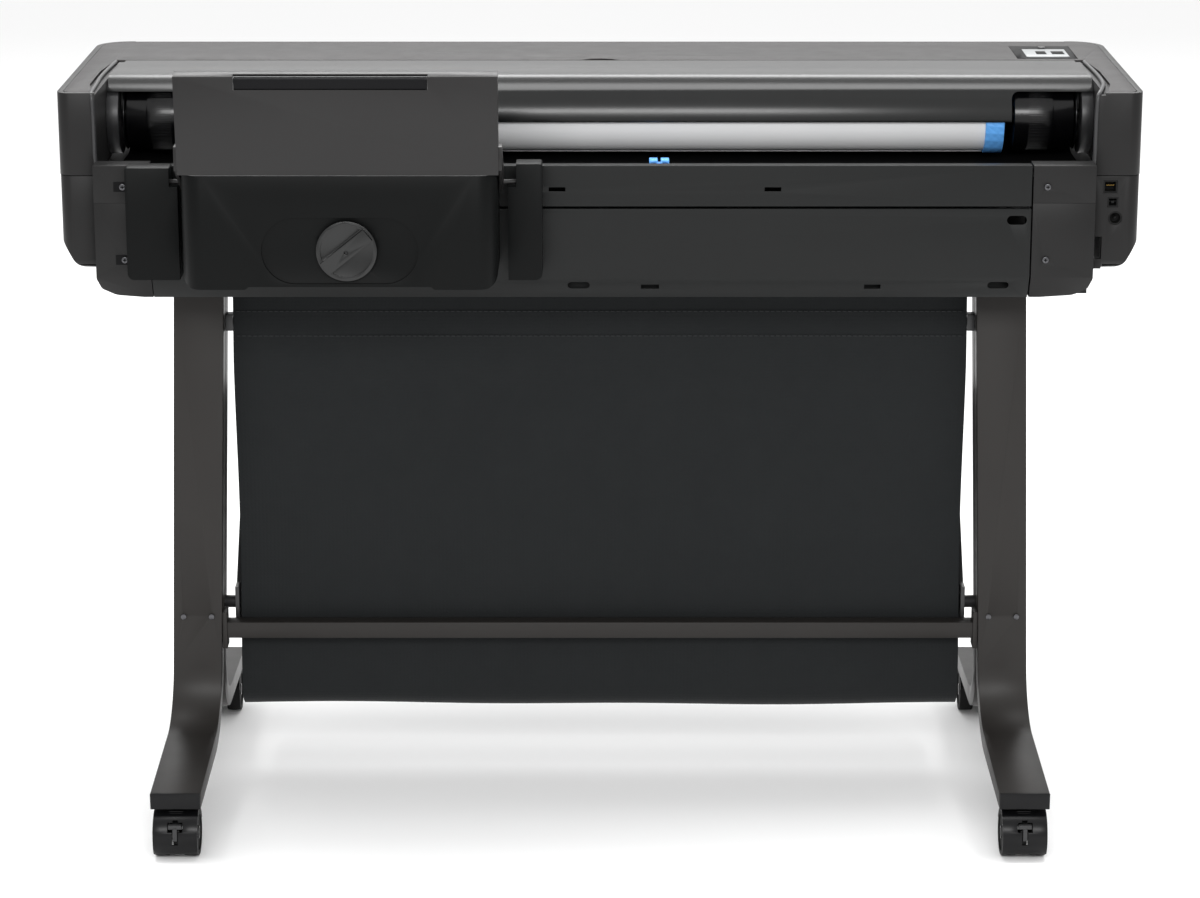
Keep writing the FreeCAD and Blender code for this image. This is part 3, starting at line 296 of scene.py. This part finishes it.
# Plain-woven nylon: matt, with a weave drawn at 2.4 mm, coarser than the real thread, so that it shows.
CLOTH = Finish(
    "woven_nylon_black", "#191b1c", "#151718", 0.82, Pattern.WOVEN,
    2.4 * MM, 0.25 * MM, sheen=0.06, specular=0.16,
)
THREAD = Finish(
    "twisted_polyester_thread", "#2b2d2e", "#232526", 0.6, Pattern.FIBROUS,
    0.6 * MM, 0.05 * MM, specular=0.3,
)
STEEL = Finish(
    "ground_steel_rod", "#b9b9ba", "#aeaeaf", 0.28, Pattern.BRUSHED,
    0.6 * MM, 0.02 * MM, metallic=1.0,
)
BRASS = Finish(
    "gilt_brass_contact", "#c9a45a", "#b9934c", 0.25, Pattern.BRUSHED,
    0.5 * MM, 0.02 * MM, metallic=1.0,
)
BLACKED = Finish(
    "blackened_screw_steel", "#57575a", "#48484a", 0.26, Pattern.POWDER,
    0.8 * MM, 0.02 * MM, metallic=0.8,
)
SMOKE = Finish(
    "smoked_acrylic", "#101113", "#0d0e10", 0.1, Pattern.POLISHED,
    40 * MM, 0.03 * MM, spread=0.03,
)
# Dark ABS with a low index of refraction, which keeps it dark where the room skims across it.
BEZEL = Finish(
    "abs_bezel_black", "#1a1a1b", "#171718", 0.4, Pattern.POLISHED,
    40 * MM, 0.02 * MM, spread=0.03, specular=0.3, ior=1.12,
)
# Frosted glass over a grey display: bright only where the light falls on it.
SCREEN = Finish(
    "frosted_display_glass", "#8f9293", "#888b8c", 0.3, Pattern.POLISHED,
    50 * MM, 0.02 * MM, spread=0.03,
)
BOARD = Finish("solder_masked_board", "#15563a", "#124a32", 0.4, Pattern.POWDER, 2.0 * MM, 0.05 * MM)


# --------------------------------------------------------------------------- modelling helpers

def deselect() -> None:
    """Leave edit mode and select nothing."""
    if bpy.context.object is not None and bpy.context.object.mode != "OBJECT":
        bpy.ops.object.mode_set(mode="OBJECT")
    bpy.ops.object.select_all(action="DESELECT")


def only(piece: bpy.types.Object) -> None:
    """Select one piece and make it the active one."""
    deselect()
    piece.select_set(True)
    bpy.context.view_layer.objects.active = piece


def settle(piece: bpy.types.Object) -> None:
    """Bring a piece's place, turn and scale into its mesh."""
    only(piece)
    bpy.ops.object.transform_apply(location=True, rotation=True, scale=True)


def ease(piece: bpy.types.Object, width: float, segments: int = 2, angle: float = EDGE_ANGLE) -> None:
    """Round a piece's sharp edges and shade it smoothly between them.

    Args:
        piece: The piece.
        width: The width of each rounded edge, in metres.
        segments: The number of faces across an edge.
        angle: The smallest fold, in degrees, that counts as an edge.
    """
    only(piece)
    if width > 0:
        bevel = piece.modifiers.new("Edge", "BEVEL")
        bevel.width = width
        bevel.segments = segments
        bevel.limit_method = "ANGLE"
        bevel.angle_limit = math.radians(angle)
        bevel.use_clamp_overlap = True
        bevel.harden_normals = False
        bpy.ops.object.modifier_apply(modifier=bevel.name)
    bpy.ops.object.shade_smooth_by_angle(angle=math.radians(angle + SMOOTH_MARGIN))


def dress(piece: bpy.types.Object, finish: Finish, body: str) -> bpy.types.Object:
    """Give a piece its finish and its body.

    Args:
        piece: The piece.
        finish: What it is made of.
        body: The body it moves with.

    Returns:
        The piece.
    """
    piece.data.materials.clear()
    piece.data.materials.append(finish.build())
    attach(piece, body)
    return piece


BODY_OF = {node: body for body, nodes in frame["record"]["behaviour"]["bodies"].items() for node in nodes}


def carry(node: str, finish: Finish, width: float = USUAL_EDGE, segments: int = 2) -> bpy.types.Object:
    """Put a finished copy in the place of an engineering part, with its edges eased.

    Args:
        node: The part's name.
        finish: What it is made of.
        width: The width of its rounded edges, in millimetres.
        segments: The number of faces across an edge.

    Returns:
        The finished piece.
    """
    source = frame["nodes"][node]
    only(source)
    bpy.ops.object.duplicate()
    piece = bpy.context.object
    piece.name = piece.data.name = node + "_finished"
    for key in list(piece.keys()):
        del piece[key]
    piece.parent = None
    bpy.ops.object.mode_set(mode="EDIT")
    bpy.ops.mesh.select_all(action="SELECT")
    bpy.ops.mesh.remove_doubles(threshold=MERGE_GAP * MM)
    bpy.ops.mesh.customdata_custom_splitnormals_clear()
    bpy.ops.mesh.dissolve_limited(angle_limit=math.radians(FLAT_ANGLE))
    bpy.ops.object.mode_set(mode="OBJECT")
    ease(piece, width * MM, segments)
    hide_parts(node)
    return dress(piece, finish, BODY_OF[node])


def name_piece(name: str) -> bpy.types.Object:
    """Name the active object and its mesh, and bring its place into the mesh."""
    piece = bpy.context.object
    piece.name = piece.data.name = name
    settle(piece)
    return piece


def brick(name: str, low: Spot, high: Spot, edge: float = USUAL_EDGE) -> bpy.types.Object:
    """Model a block with rounded edges.

    Args:
        name: The piece's name.
        low: Its lowest corner, in millimetres.
        high: Its highest corner, in millimetres.
        edge: The width of its rounded edges, in millimetres.

    Returns:
        The piece.
    """
    deselect()
    centre = [(a + b) / 2 * MM for a, b in zip(low, high)]
    spans = [(b - a) * MM for a, b in zip(low, high)]
    bpy.ops.mesh.primitive_cube_add(size=1.0, location=centre, scale=spans)
    piece = name_piece(name)
    ease(piece, edge * MM, 3)
    return piece


def barrel(
    name: str, axis: str, span: tuple[float, float], centre: Spot, radius: float,
    edge: float = 0.5, dish: float = 0.0,
) -> bpy.types.Object:
    """Model a round part with rounded rims and, if wanted, dished ends.

    Args:
        name: The piece's name.
        axis: The letter of the axis that it lies along.
        span: Its two ends along that axis, in millimetres.
        centre: A point on its axis, in millimetres.
        radius: Its radius, in millimetres.
        edge: The width of its rounded rims, in millimetres.
        dish: How deep its ends are dished, in millimetres.

    Returns:
        The piece.
    """
    deselect()
    index = "XYZ".index(axis)
    place = list(centre)
    place[index] = (span[0] + span[1]) / 2
    turn = {"X": (0.0, math.pi / 2, 0.0), "Y": (math.pi / 2, 0.0, 0.0), "Z": (0.0, 0.0, 0.0)}[axis]
    bpy.ops.mesh.primitive_cylinder_add(
        vertices=ROUND_SIDES, radius=radius * MM, depth=abs(span[1] - span[0]) * MM,
        location=[value * MM for value in place], rotation=turn,
    )
    piece = name_piece(name)
    if dish > 0:
        choose_faces(piece, lambda face: abs(face.normal[index]) > 0.9)
        bpy.ops.object.mode_set(mode="EDIT")
        bpy.ops.mesh.inset(thickness=radius * 0.25 * MM, depth=0.0)
        bpy.ops.mesh.inset(thickness=dish * MM, depth=-dish * MM)
        bpy.ops.object.mode_set(mode="OBJECT")
    ease(piece, edge * MM, 2)
    return piece


def choose_faces(piece: bpy.types.Object, wanted: Callable[[bpy.types.MeshPolygon], bool]) -> None:
    """Select the faces of a piece that pass a test, and no other part of it.

    Args:
        piece: The piece.
        wanted: Says whether a face is selected.
    """
    only(piece)
    bpy.ops.object.mode_set(mode="EDIT")
    bpy.ops.mesh.select_mode(type="FACE")
    bpy.ops.mesh.select_all(action="DESELECT")
    bpy.ops.object.mode_set(mode="OBJECT")
    for face in piece.data.polygons:
        face.select = wanted(face)


def repeat(piece: bpy.types.Object, count: int, step: Spot) -> bpy.types.Object:
    """Set out a row of copies of a piece, joined to it.

    Args:
        piece: The first of the row.
        count: How many there are.
        step: The way from one to the next, in millimetres.

    Returns:
        The piece.
    """
    only(piece)
    row = piece.modifiers.new("Row", "ARRAY")
    row.count = count
    row.use_relative_offset = False
    row.use_constant_offset = True
    row.constant_offset_displace = [value * MM for value in step]
    bpy.ops.object.modifier_apply(modifier=row.name)
    return piece


def bead(name: str, line: Sequence[Spot], radius: float) -> bpy.types.Object:
    """Model a rounded strip that follows a smooth line.

    Args:
        name: The piece's name.
        line: The points that guide it, in millimetres.
        radius: Half its width, in millimetres.

    Returns:
        The piece.
    """
    curve = bpy.data.curves.new(name, "CURVE")
    curve.dimensions = "3D"
    curve.bevel_depth = radius * MM
    curve.bevel_resolution = 4
    curve.use_fill_caps = True
    spline = curve.splines.new("NURBS")
    spline.points.add(len(line) - 1)
    for point, place in zip(spline.points, line):
        point.co = (place[0] * MM, place[1] * MM, place[2] * MM, 1.0)
    spline.order_u = 3
    spline.use_endpoint_u = True
    spline.resolution_u = 8
    strip = bpy.data.objects.new(name, curve)
    bpy.context.collection.objects.link(strip)
    only(strip)
    bpy.ops.object.convert(target="MESH")
    piece = name_piece(name)
    bpy.ops.object.shade_smooth_by_angle(angle=math.radians(SOFT_ANGLE))
    return piece


def carry_all(finishes: dict[str, Finish], edges: dict[str, float]) -> None:
    """Finish the engineering parts of one sub-assembly.

    Args:
        finishes: The finish of each part.
        edges: The widths of the rounded edges, in millimetres, where they aren't the usual ones.
    """
    for node, finish in finishes.items():
        carry(node, finish, edges.get(node, USUAL_EDGE))
        LOG.info("finished %s", node)


# --------------------------------------------------------------------------- the plotter's body

@dataclass
class Housing:
    """The end housings, the top plate and the rim round the roll's recess."""

    rear: float = -145.4
    top: float = 930.8
    rim: float = 2.6
    corners: dict[int, float] = field(default_factory=lambda: {-1: 613.5, 1: 601.0})

    def build(self) -> None:
        """Finish the shells and lay the rims."""
        carry_all({
            "end_upper_left": SHELL, "end_upper_right": SHELL,
            "end_lower_left": SHELL, "end_lower_right": SHELL, "top_plate": SHELL_PAINTED_TOP_LIGHT,
        }, {"top_plate": 0.8, "end_upper_left": 1.0, "end_upper_right": 1.0})
        for side, corner in self.corners.items():
            self.lay_rim(side, corner)

    def lay_rim(self, side: int, corner: float) -> None:
        """Lay the rounded rim from the bottom of the recess, up the rear edge and forward along the lid.

        Args:
            side: -1 for the left end seen from behind, 1 for the right end.
            corner: How far from the middle the rear edge stands, in millimetres.
        """
        line = [
            (corner - 30, self.rear + 3, 837), (corner - 12, self.rear, 838), (corner - 1, self.rear, 842),
            (corner, self.rear, 860), (corner, self.rear, 905), (corner + 1, self.rear, 926),
            (corner + 3, self.rear + 4, self.top), ((corner + 622) / 2, -110, self.top),
            (618.5, -75, self.top), (620.5, -30, self.top), (620.0, 20, self.top),
            (618.5, 62, self.top), (617.0, 100, self.top),
        ]
        name = "recess_rim_left" if side < 0 else "recess_rim_right"
        piece = bead(name, [(x * side, y, z) for x, y, z in line], self.rim)
        dress(piece, SATIN, "frame")


@dataclass
class RearPanels:
    """The folded rear sheets and their screws, with painted shade: dark plates round the left screws where
    their recesses are, and dark crosses on all screws where their cross slots are.
    """

    face: float = -176.5
    screw_columns: tuple[float, ...] = (-577.0, 541.0)
    screw_heights: tuple[float, ...] = (823.0, 733.0)
    # Size of the painted shade round the left screws: dark plates where the shade in their recesses falls.
    well_shade_left: float = 11.0
    well_shade_right: float = 5.5
    well_shade_half: float = 6.0
    # Size and place of the painted shade on the screw heads: dark crosses where the shade in their cross
    # slots falls.
    slot_shade_long: float = 2.1
    slot_shade_thin: float = 0.45
    slot_shade_out: float = 3.7
    slot_shade_in: float = 3.1

    def build(self) -> None:
        """Finish the sheets and screws, and lay painted shade: dark plates for the wells round the left
        screws and dark crosses for the screws' cross slots.
        """
        carry_all({
            "rear_upper_panel": PANEL, "rear_lower_panel": PANEL, "rear_strip_left": SHELL,
            "rear_strip_right": SHELL, "base_tray": PANEL, "screws": BLACKED,
        }, {"rear_upper_panel": 0.5, "rear_lower_panel": 0.5, "screws": 0.3, "base_tray": 0.4})
        places = [(x, z) for x in self.screw_columns for z in self.screw_heights]
        for number, (x, z) in enumerate(places):
            # Painted shade: a thin dark plate, proud of the sheet, stands where the shade in each left
            # screw's recess falls.
            if x < 0:
                low = (x - self.well_shade_left, self.face - 0.6, z - self.well_shade_half)
                high = (x + self.well_shade_right, self.face + 0.4, z + self.well_shade_half)
                dress(brick(f"screw_well_painted_shade_{number}", low, high, 0.25), BAY, "frame")
            # Painted shade: two crossing dark bars on the screw head stand where the shade in its cross slot
            # falls.
            long, thin = self.slot_shade_long, self.slot_shade_thin
            for name, wide, tall in (("flat", long, thin), ("upright", thin, long)):
                low = (x - wide, self.face - self.slot_shade_out, z - tall)
                high = (x + wide, self.face - self.slot_shade_in, z + tall)
                dress(brick(f"screw_drive_{name}_{number}", low, high, 0.1), BAY, "frame")


@dataclass
class RollFeed:
    """The bay, the cradles, the spindle with its roll and the cover."""

    axis: float = 880.0
    hub: float = 43.0
    hub_start: float = 514.0
    hub_step: float = 562.0
    roll_end: float = 478.5
    roll_start: float = -435.5
    ribs: int = 120
    edge_outer: float = 44.35
    edge_inner: float = 43.4
    core: float = 26.0

    def build(self) -> None:
        """Finish the parts and add the hub ribs, the roll's core and its loose edge."""
        carry_all({
            "roll_bay": BAY, "roll_guide": BLUE, "spindle_cradles": SATIN, "spindle_shaft": GLOSS,
            "spindle_hubs": GLOSS, "paper_roll": PAPER, "roll_end_stops": BLUE, "roll_cover": COVER,
        }, {
            "spindle_hubs": 1.6, "roll_cover": 0.8, "paper_roll": 0.3, "roll_end_stops": 0.8, "roll_bay": 0.4,
        })
        for side, name in ((-1, "left"), (1, "right")):
            self.rib_hub(side, name)
        edge = brick(
            "paper_loose_edge", (self.roll_start + 1, -8.0, self.axis - self.edge_outer),
            (self.roll_end - 1, 5.0, self.axis - self.edge_inner), 0.1,
        )
        dress(edge, PAPER, "spindle")
        for number, end in enumerate((self.roll_start, self.roll_end)):
            way = -1 if number == 0 else 1
            span = (end - 2 * way, end + 0.6 * way)
            core = barrel(f"paper_core_{number}", "X", span, (0, 0, self.axis), self.core, 0.3, 1.0)
            dress(core, KRAFT, "spindle")

    def rib_hub(self, side: int, name: str) -> None:
        """Raise the fine grip ribs round one hub.

        Args:
            side: -1 for the left hub, 1 for the right one.
            name: The side's name.
        """
        near, far = sorted((side * (self.hub_start + 18), side * (self.hub_step - 4)))
        rib = brick(
            f"hub_ribs_{name}", (near, -0.4, self.axis - self.hub - 0.2),
            (far, 0.4, self.axis - self.hub + 0.6), 0.15,
        )
        parts = [rib]
        spin_centre = Vector((0.0, 0.0, self.axis * MM))
        there, back = Matrix.Translation(spin_centre), Matrix.Translation(-spin_centre)
        for number in range(1, self.ribs):
            only(rib)
            bpy.ops.object.duplicate()
            copy = bpy.context.object
            angle = 2 * math.pi * number / self.ribs
            copy.data.transform(there @ Matrix.Rotation(angle, 4, "X") @ back)
            parts.append(copy)
        deselect()
        for part in parts:
            part.select_set(True)
        bpy.context.view_layer.objects.active = rib
        bpy.ops.object.join()
        dress(rib, GLOSS, "spindle")


@dataclass
class SheetFeeder:
    """The cut-sheet feeder: brackets, box, knob, pick roller, tray and its extension."""

    def build(self) -> None:
        """Finish the feeder's parts."""
        carry_all({
            "feeder_box": FEEDER, "feeder_brackets": FEEDER, "feeder_tray": FEEDER_PAINTED_TOP_LIGHT, "tray_extension": BEZEL,
            "feeder_knob": COVER, "pick_roller": RUBBER,
        }, {"feeder_box": 1.4, "feeder_tray": 1.3, "feeder_knob": 1.0, "tray_extension": 0.6})


@dataclass
class ControlPanel:
    """The gloss bezel with its display, two plain signs and the power button."""

    top: float = 932.0
    glass: tuple[float, float, float, float] = (548.0, 603.0, 136.0, 196.0)
    sign_half: float = 12.0

    def build(self) -> None:
        """Finish the bezel and lay the display in it."""
        edges = {"control_bezel": 0.5, "power_button": 0.4}
        carry_all({"control_bezel": BEZEL, "power_button": SATIN}, edges)
        x0, x1, y0, y1 = self.glass
        screen = brick("display_glass", (x0, y0, self.top - 1.5), (x1, y1, self.top + 0.3), 0.25)
        dress(screen, SCREEN, "frame")
        middle = (y0 + y1) / 2
        for name, left, right in (("square", 563.0, 576.0), ("bar", 583.0, 599.0)):
            low = (left, middle - self.sign_half, self.top - 0.2)
            high = (right, middle + self.sign_half, self.top + 0.45)
            sign = brick(f"display_{name}", low, high, 0.15)
            dress(sign, BAY, "frame")


@dataclass
class Sockets:
    """The sockets on the right end and the contacts inside them."""

    face: float = -144.0
    contacts: int = 8
    contact_pitch: float = 1.25

    def build(self) -> None:
        """Finish the sockets and fit their contacts."""
        carry_all({"port_sockets": RUBBER}, {"port_sockets": 0.2})
        low, high = (616.8, self.face + 2, 818.2), (617.3, self.face + 14, 819.0)
        contact = brick("network_contacts", low, high, 0.08)
        dress(repeat(contact, self.contacts, (self.contact_pitch, 0, 0)), BRASS, "frame")
        tongue = brick("data_tongue", (623.2, self.face + 2, 796.3), (626.8, self.face + 6, 799.3), 0.3)
        dress(tongue, RUBBER, "frame")
        pin = barrel("power_pin", "Y", (self.face + 4, self.face + 13), (628.5, 0, 778), 1.2, 0.3)
        dress(pin, STEEL, "frame")


@dataclass
class PrintZone:
    """Everything under the lid and on the operator's side."""

    def build(self) -> None:
        """Finish the parts of the print path and the operator's covers."""
        carry_all({
            "carriage": GLOSS, "carriage_motor": STEEL, "carriage_rail": STEEL, "drive_belt": RUBBER,
            "electronics": BOARD, "feed_roller": RUBBER, "front_cover": SHELL, "front_header": SHELL_PAINTED_TOP_LIGHT,
            "front_window": SMOKE, "ink_cartridges": SHELL, "ink_door": SHELL, "output_chute": SHELL,
            "print_platen": BAY, "service_station": BAY,
        }, {"front_window": 0.8, "front_cover": 1.0})


# --------------------------------------------------------------------------- the stand

@dataclass
class Stand:
    """The legs, their caps and brackets, the crossbar and the rods and arms of the catch bin."""

    def build(self) -> None:
        """Finish the stand's parts."""
        carry_all({
            "leg_left": STAND, "leg_right": STAND, "stand_brackets": STAND, "crossbar": STAND,
            "foot_caps": WHEEL, "bin_rods": STAND, "bin_arms": SATIN,
        }, {"leg_left": 1.6, "leg_right": 1.6, "foot_caps": 1.2, "crossbar": 0.8, "bin_arms": 0.8})


@dataclass
class Casters:
    """The four twin-wheel casters."""

    centre: float = 271.4
    axle: float = 28.5
    track: float = 524.0
    inner: float = 9.0
    wide: float = 18.5
    dish: float = 2.0
    cap_radius: float = 8.0
    cap_height: float = 1.6

    def build(self) -> None:
        """Finish the casters and add a hub cap on each side of the wheels."""
        for end, way in (("rear", -1), ("front", 1)):
            for side, x in (("left", -self.track), ("right", self.track)):
                tag = f"{end}_{side}"
                finishes = {f"caster_fork_{tag}": WHEEL, f"caster_wheels_{tag}": RUBBER}
                if way < 0:
                    finishes[f"caster_pedal_{tag}"] = SATIN
                edges = {f"caster_fork_{tag}": 0.4, f"caster_wheels_{tag}": 1.0, f"caster_pedal_{tag}": 0.5}
                carry_all(finishes, edges)
                for out, end_name in ((-1, "in"), (1, "out")):
                    face = x + out * (self.inner + self.wide - self.dish)
                    span = (face - out * 0.5, face + out * self.cap_height)
                    middle = (0, self.centre * way, self.axle)
                    cap = barrel(f"wheel_cap_{tag}_{end_name}", "X", span, middle, self.cap_radius, 0.5, 0.6)
                    dress(cap, WHEEL, f"caster_wheels_{tag}")


@dataclass
class CatchBin:
    """The cloth bin: one hanging sheet with side hems and two rows of stitches."""

    half: float = 465.0
    top: float = 681.0
    base: float = 92.3
    depth: float = 148.5
    mouth_front: float = 215.5
    mouth: float = 478.0
    round_back: float = 43.0
    gauge: float = 1.0
    columns: int = 110
    rows: int = 150
    sag: float = 3.0
    seam_heights: tuple[float, float] = (596.0, 628.0)
    hem: float = 14.0
    hem_lap: float = 0.6
    hem_lift: float = -1.2
    stitch_start: float = -462.0
    stitch_length: float = 4.5
    stitch_pitch: float = 7.0
    stitches: int = 132
    narrow_fold: float = 61.0
    wide_fold: float = 173.0
    sway_fold: float = 74.0

    def corner(self, before: Vector, at: Vector, after: Vector) -> list[Vector]:
        """Round one fold of the sheet's section.

        Args:
            before: The point before the fold.
            at: The fold.
            after: The point after it.

        Returns:
            The points along the rounded fold.
        """
        start = at + (before - at).normalized() * self.round_back
        end = at + (after - at).normalized() * self.round_back
        steps = [step / 10 for step in range(11)]
        return [start * (1 - t) ** 2 + at * (2 * t * (1 - t)) + end * t ** 2 for t in steps]

    def section(self) -> list[Vector]:
        """Return the sheet's section from its top hem, down, under and up to its mouth, as Y and Z."""
        hem, back = Vector((0.0, self.top)), Vector((0.0, self.base))
        front, mouth = Vector((self.depth, self.base)), Vector((self.mouth_front, self.mouth))
        return [hem, *self.corner(hem, back, front), *self.corner(back, front, mouth), mouth]

    def along(self, line: Sequence[Vector], share: float) -> tuple[Vector, Vector]:
        """Return the point at a share of the section's length, and the way out of the cloth there."""
        lengths = [(b - a).length for a, b in zip(line, line[1:])]
        left = share * sum(lengths)
        for start, end, length in zip(line, line[1:], lengths):
            if left <= length or end is line[-1]:
                run = (end - start).normalized()
                return start + run * left, Vector((run.y, -run.x))
            left -= length
        return line[-1], Vector((1.0, 0.0))

    def drape(self, name: str, x0: float, x1: float, columns: int, lift: float) -> bpy.types.Object:
        """Hang a strip of the cloth between two places across the bin.

        Args:
            name: The piece's name.
            x0: Its left edge, in millimetres.
            x1: Its right edge, in millimetres.
            columns: How many faces lie across it.
            lift: How far outside the main sheet it lies, in millimetres.

        Returns:
            The piece.
        """
        line = self.section()
        deselect()
        bpy.ops.mesh.primitive_grid_add(x_subdivisions=columns, y_subdivisions=self.rows, size=2.0)
        piece = name_piece(name)
        for vertex in piece.data.vertices:
            across, share = (vertex.co.x + 1) / 2, (1 - vertex.co.y) / 2
            x = x0 + (x1 - x0) * across
            place, out = self.along(line, share)
            free = min(1.0, share * 9) * min(1.0, (1 - share) * 14)
            narrow = math.sin(x / self.narrow_fold + 1.3 * math.sin(place.y / 140)) * 0.6
            fold = narrow + math.sin(x / self.wide_fold + share * 7) * 0.9
            sway = math.sin(place.y / self.sway_fold) * 1.3 * (x / self.half) ** 3
            push = lift - self.sag * 0.5 * fold * free
            vertex.co = Vector((x + sway * free, place.x + out.x * push, place.y + out.y * push)) * MM
        wall = piece.modifiers.new("Wall", "SOLIDIFY")
        wall.thickness = self.gauge * MM
        wall.offset = 0.0
        bpy.ops.object.modifier_apply(modifier=wall.name)
        bpy.ops.object.shade_smooth_by_angle(angle=math.radians(SOFT_ANGLE))
        return dress(piece, CLOTH, "frame")

    def build(self) -> None:
        """Hang the sheet, lay a hem along each side and add the stitches."""
        cloth = self.drape("bin_cloth", -self.half, self.half, self.columns, 0.0)
        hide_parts("catch_bin")
        for side, name in ((-1, "left"), (1, "right")):
            x0, x1 = sorted((side * (self.half - self.hem), side * (self.half + self.hem_lap)))
            self.drape(f"bin_hem_{name}", x0, x1, 3, self.hem_lift)
        for number, height in enumerate(self.seam_heights):
            low = (self.stitch_start, -2.6, height)
            high = (self.stitch_start + self.stitch_length, -1.2, height + 1.0)
            stitch = brick(f"bin_stitches_{number}", low, high, 0.3)
            dress(repeat(stitch, self.stitches, (self.stitch_pitch, 0, 0)), THREAD, "frame")


# --------------------------------------------------------------------------- the studio

@dataclass
class Studio:
    """Floor, lights and camera."""

    camera_place: Spot = (0.0, -4.4565, 1.6586)
    camera_tilt: float = 15.21
    lens: float = 108.0
    sensor: float = 36.0

    def build(self) -> None:
        """Make the floor, the lights and the camera."""
        self.floor()
        self.lights()
        self.camera()

    def floor(self) -> None:
        """Lay a pale floor that reaches well past the view."""
        deselect()
        bpy.ops.mesh.primitive_plane_add(size=60.0, location=(0.0, 0.0, 0.0))
        plane = bpy.context.object
        plane.name = "studio_floor"
        material = bpy.data.materials.new("studio_floor_paint")
        material.use_nodes = True
        surface = material.node_tree.nodes["Principled BSDF"]
        surface.inputs["Base Color"].default_value = linear("#fbfbfb")
        surface.inputs["Roughness"].default_value = 0.9
        plane.data.materials.append(material)

    def lights(self) -> None:
        """Hang wide soft boxes above the machine in a white room."""
        world = bpy.data.worlds.new("studio_room")
        bpy.context.scene.world = world
        world.use_nodes = True
        world.node_tree.nodes["Background"].inputs["Color"].default_value = linear("#ffffff")
        world.node_tree.nodes["Background"].inputs["Strength"].default_value = 0.94
        boxes = (
            ("top_box", (0.0, 0.1, 3.2), (0, 0, 0), 3.4, 1.2, 80.0),
            ("rear_box", (0.0, -4.2, 2.5), (67, 0, 0), 3.2, 0.8, 115.0),
            ("front_box", (0.0, 4.4, 3.6), (-60, 0, 0), 4.2, 1.4, 85.0),
        )
        for name, place, turn, wide, deep, power in boxes:
            deselect()
            bpy.ops.object.light_add(type="AREA", location=place, rotation=[math.radians(a) for a in turn])
            light = bpy.context.object
            light.name = name
            light.data.shape = "RECTANGLE"
            light.data.size = wide
            light.data.size_y = deep
            light.data.energy = power
        bpy.context.scene.view_settings.view_transform = "Standard"

    def camera(self) -> None:
        """Stand the camera behind the machine, looking a little down."""
        deselect()
        turn = (math.radians(90.0 - self.camera_tilt), 0.0, 0.0)
        bpy.ops.object.camera_add(location=self.camera_place, rotation=turn)
        camera = bpy.context.object
        camera.name = "studio_camera"
        camera.data.lens = self.lens
        camera.data.sensor_width = self.sensor
        camera.data.clip_end = 200.0
        bpy.context.scene.camera = camera


def main() -> None:
    """Build every sub-assembly in order."""
    logging.basicConfig(level=logging.INFO)
    Studio().build()
    for assembly in (
        Housing(), RearPanels(), RollFeed(), SheetFeeder(), ControlPanel(), Sockets(), PrintZone(),
        Stand(), Casters(), CatchBin(),
    ):
        assembly.build()
        LOG.info("built %s", type(assembly).__name__)
    done = {"catch_bin"} | {node for node in frame["nodes"] if node + "_finished" in bpy.data.objects}
    left = set(frame["nodes"]) - done
    for node in sorted(left):
        LOG.warning("left as it was: %s", node)


if __name__ == "__main__":
    main()
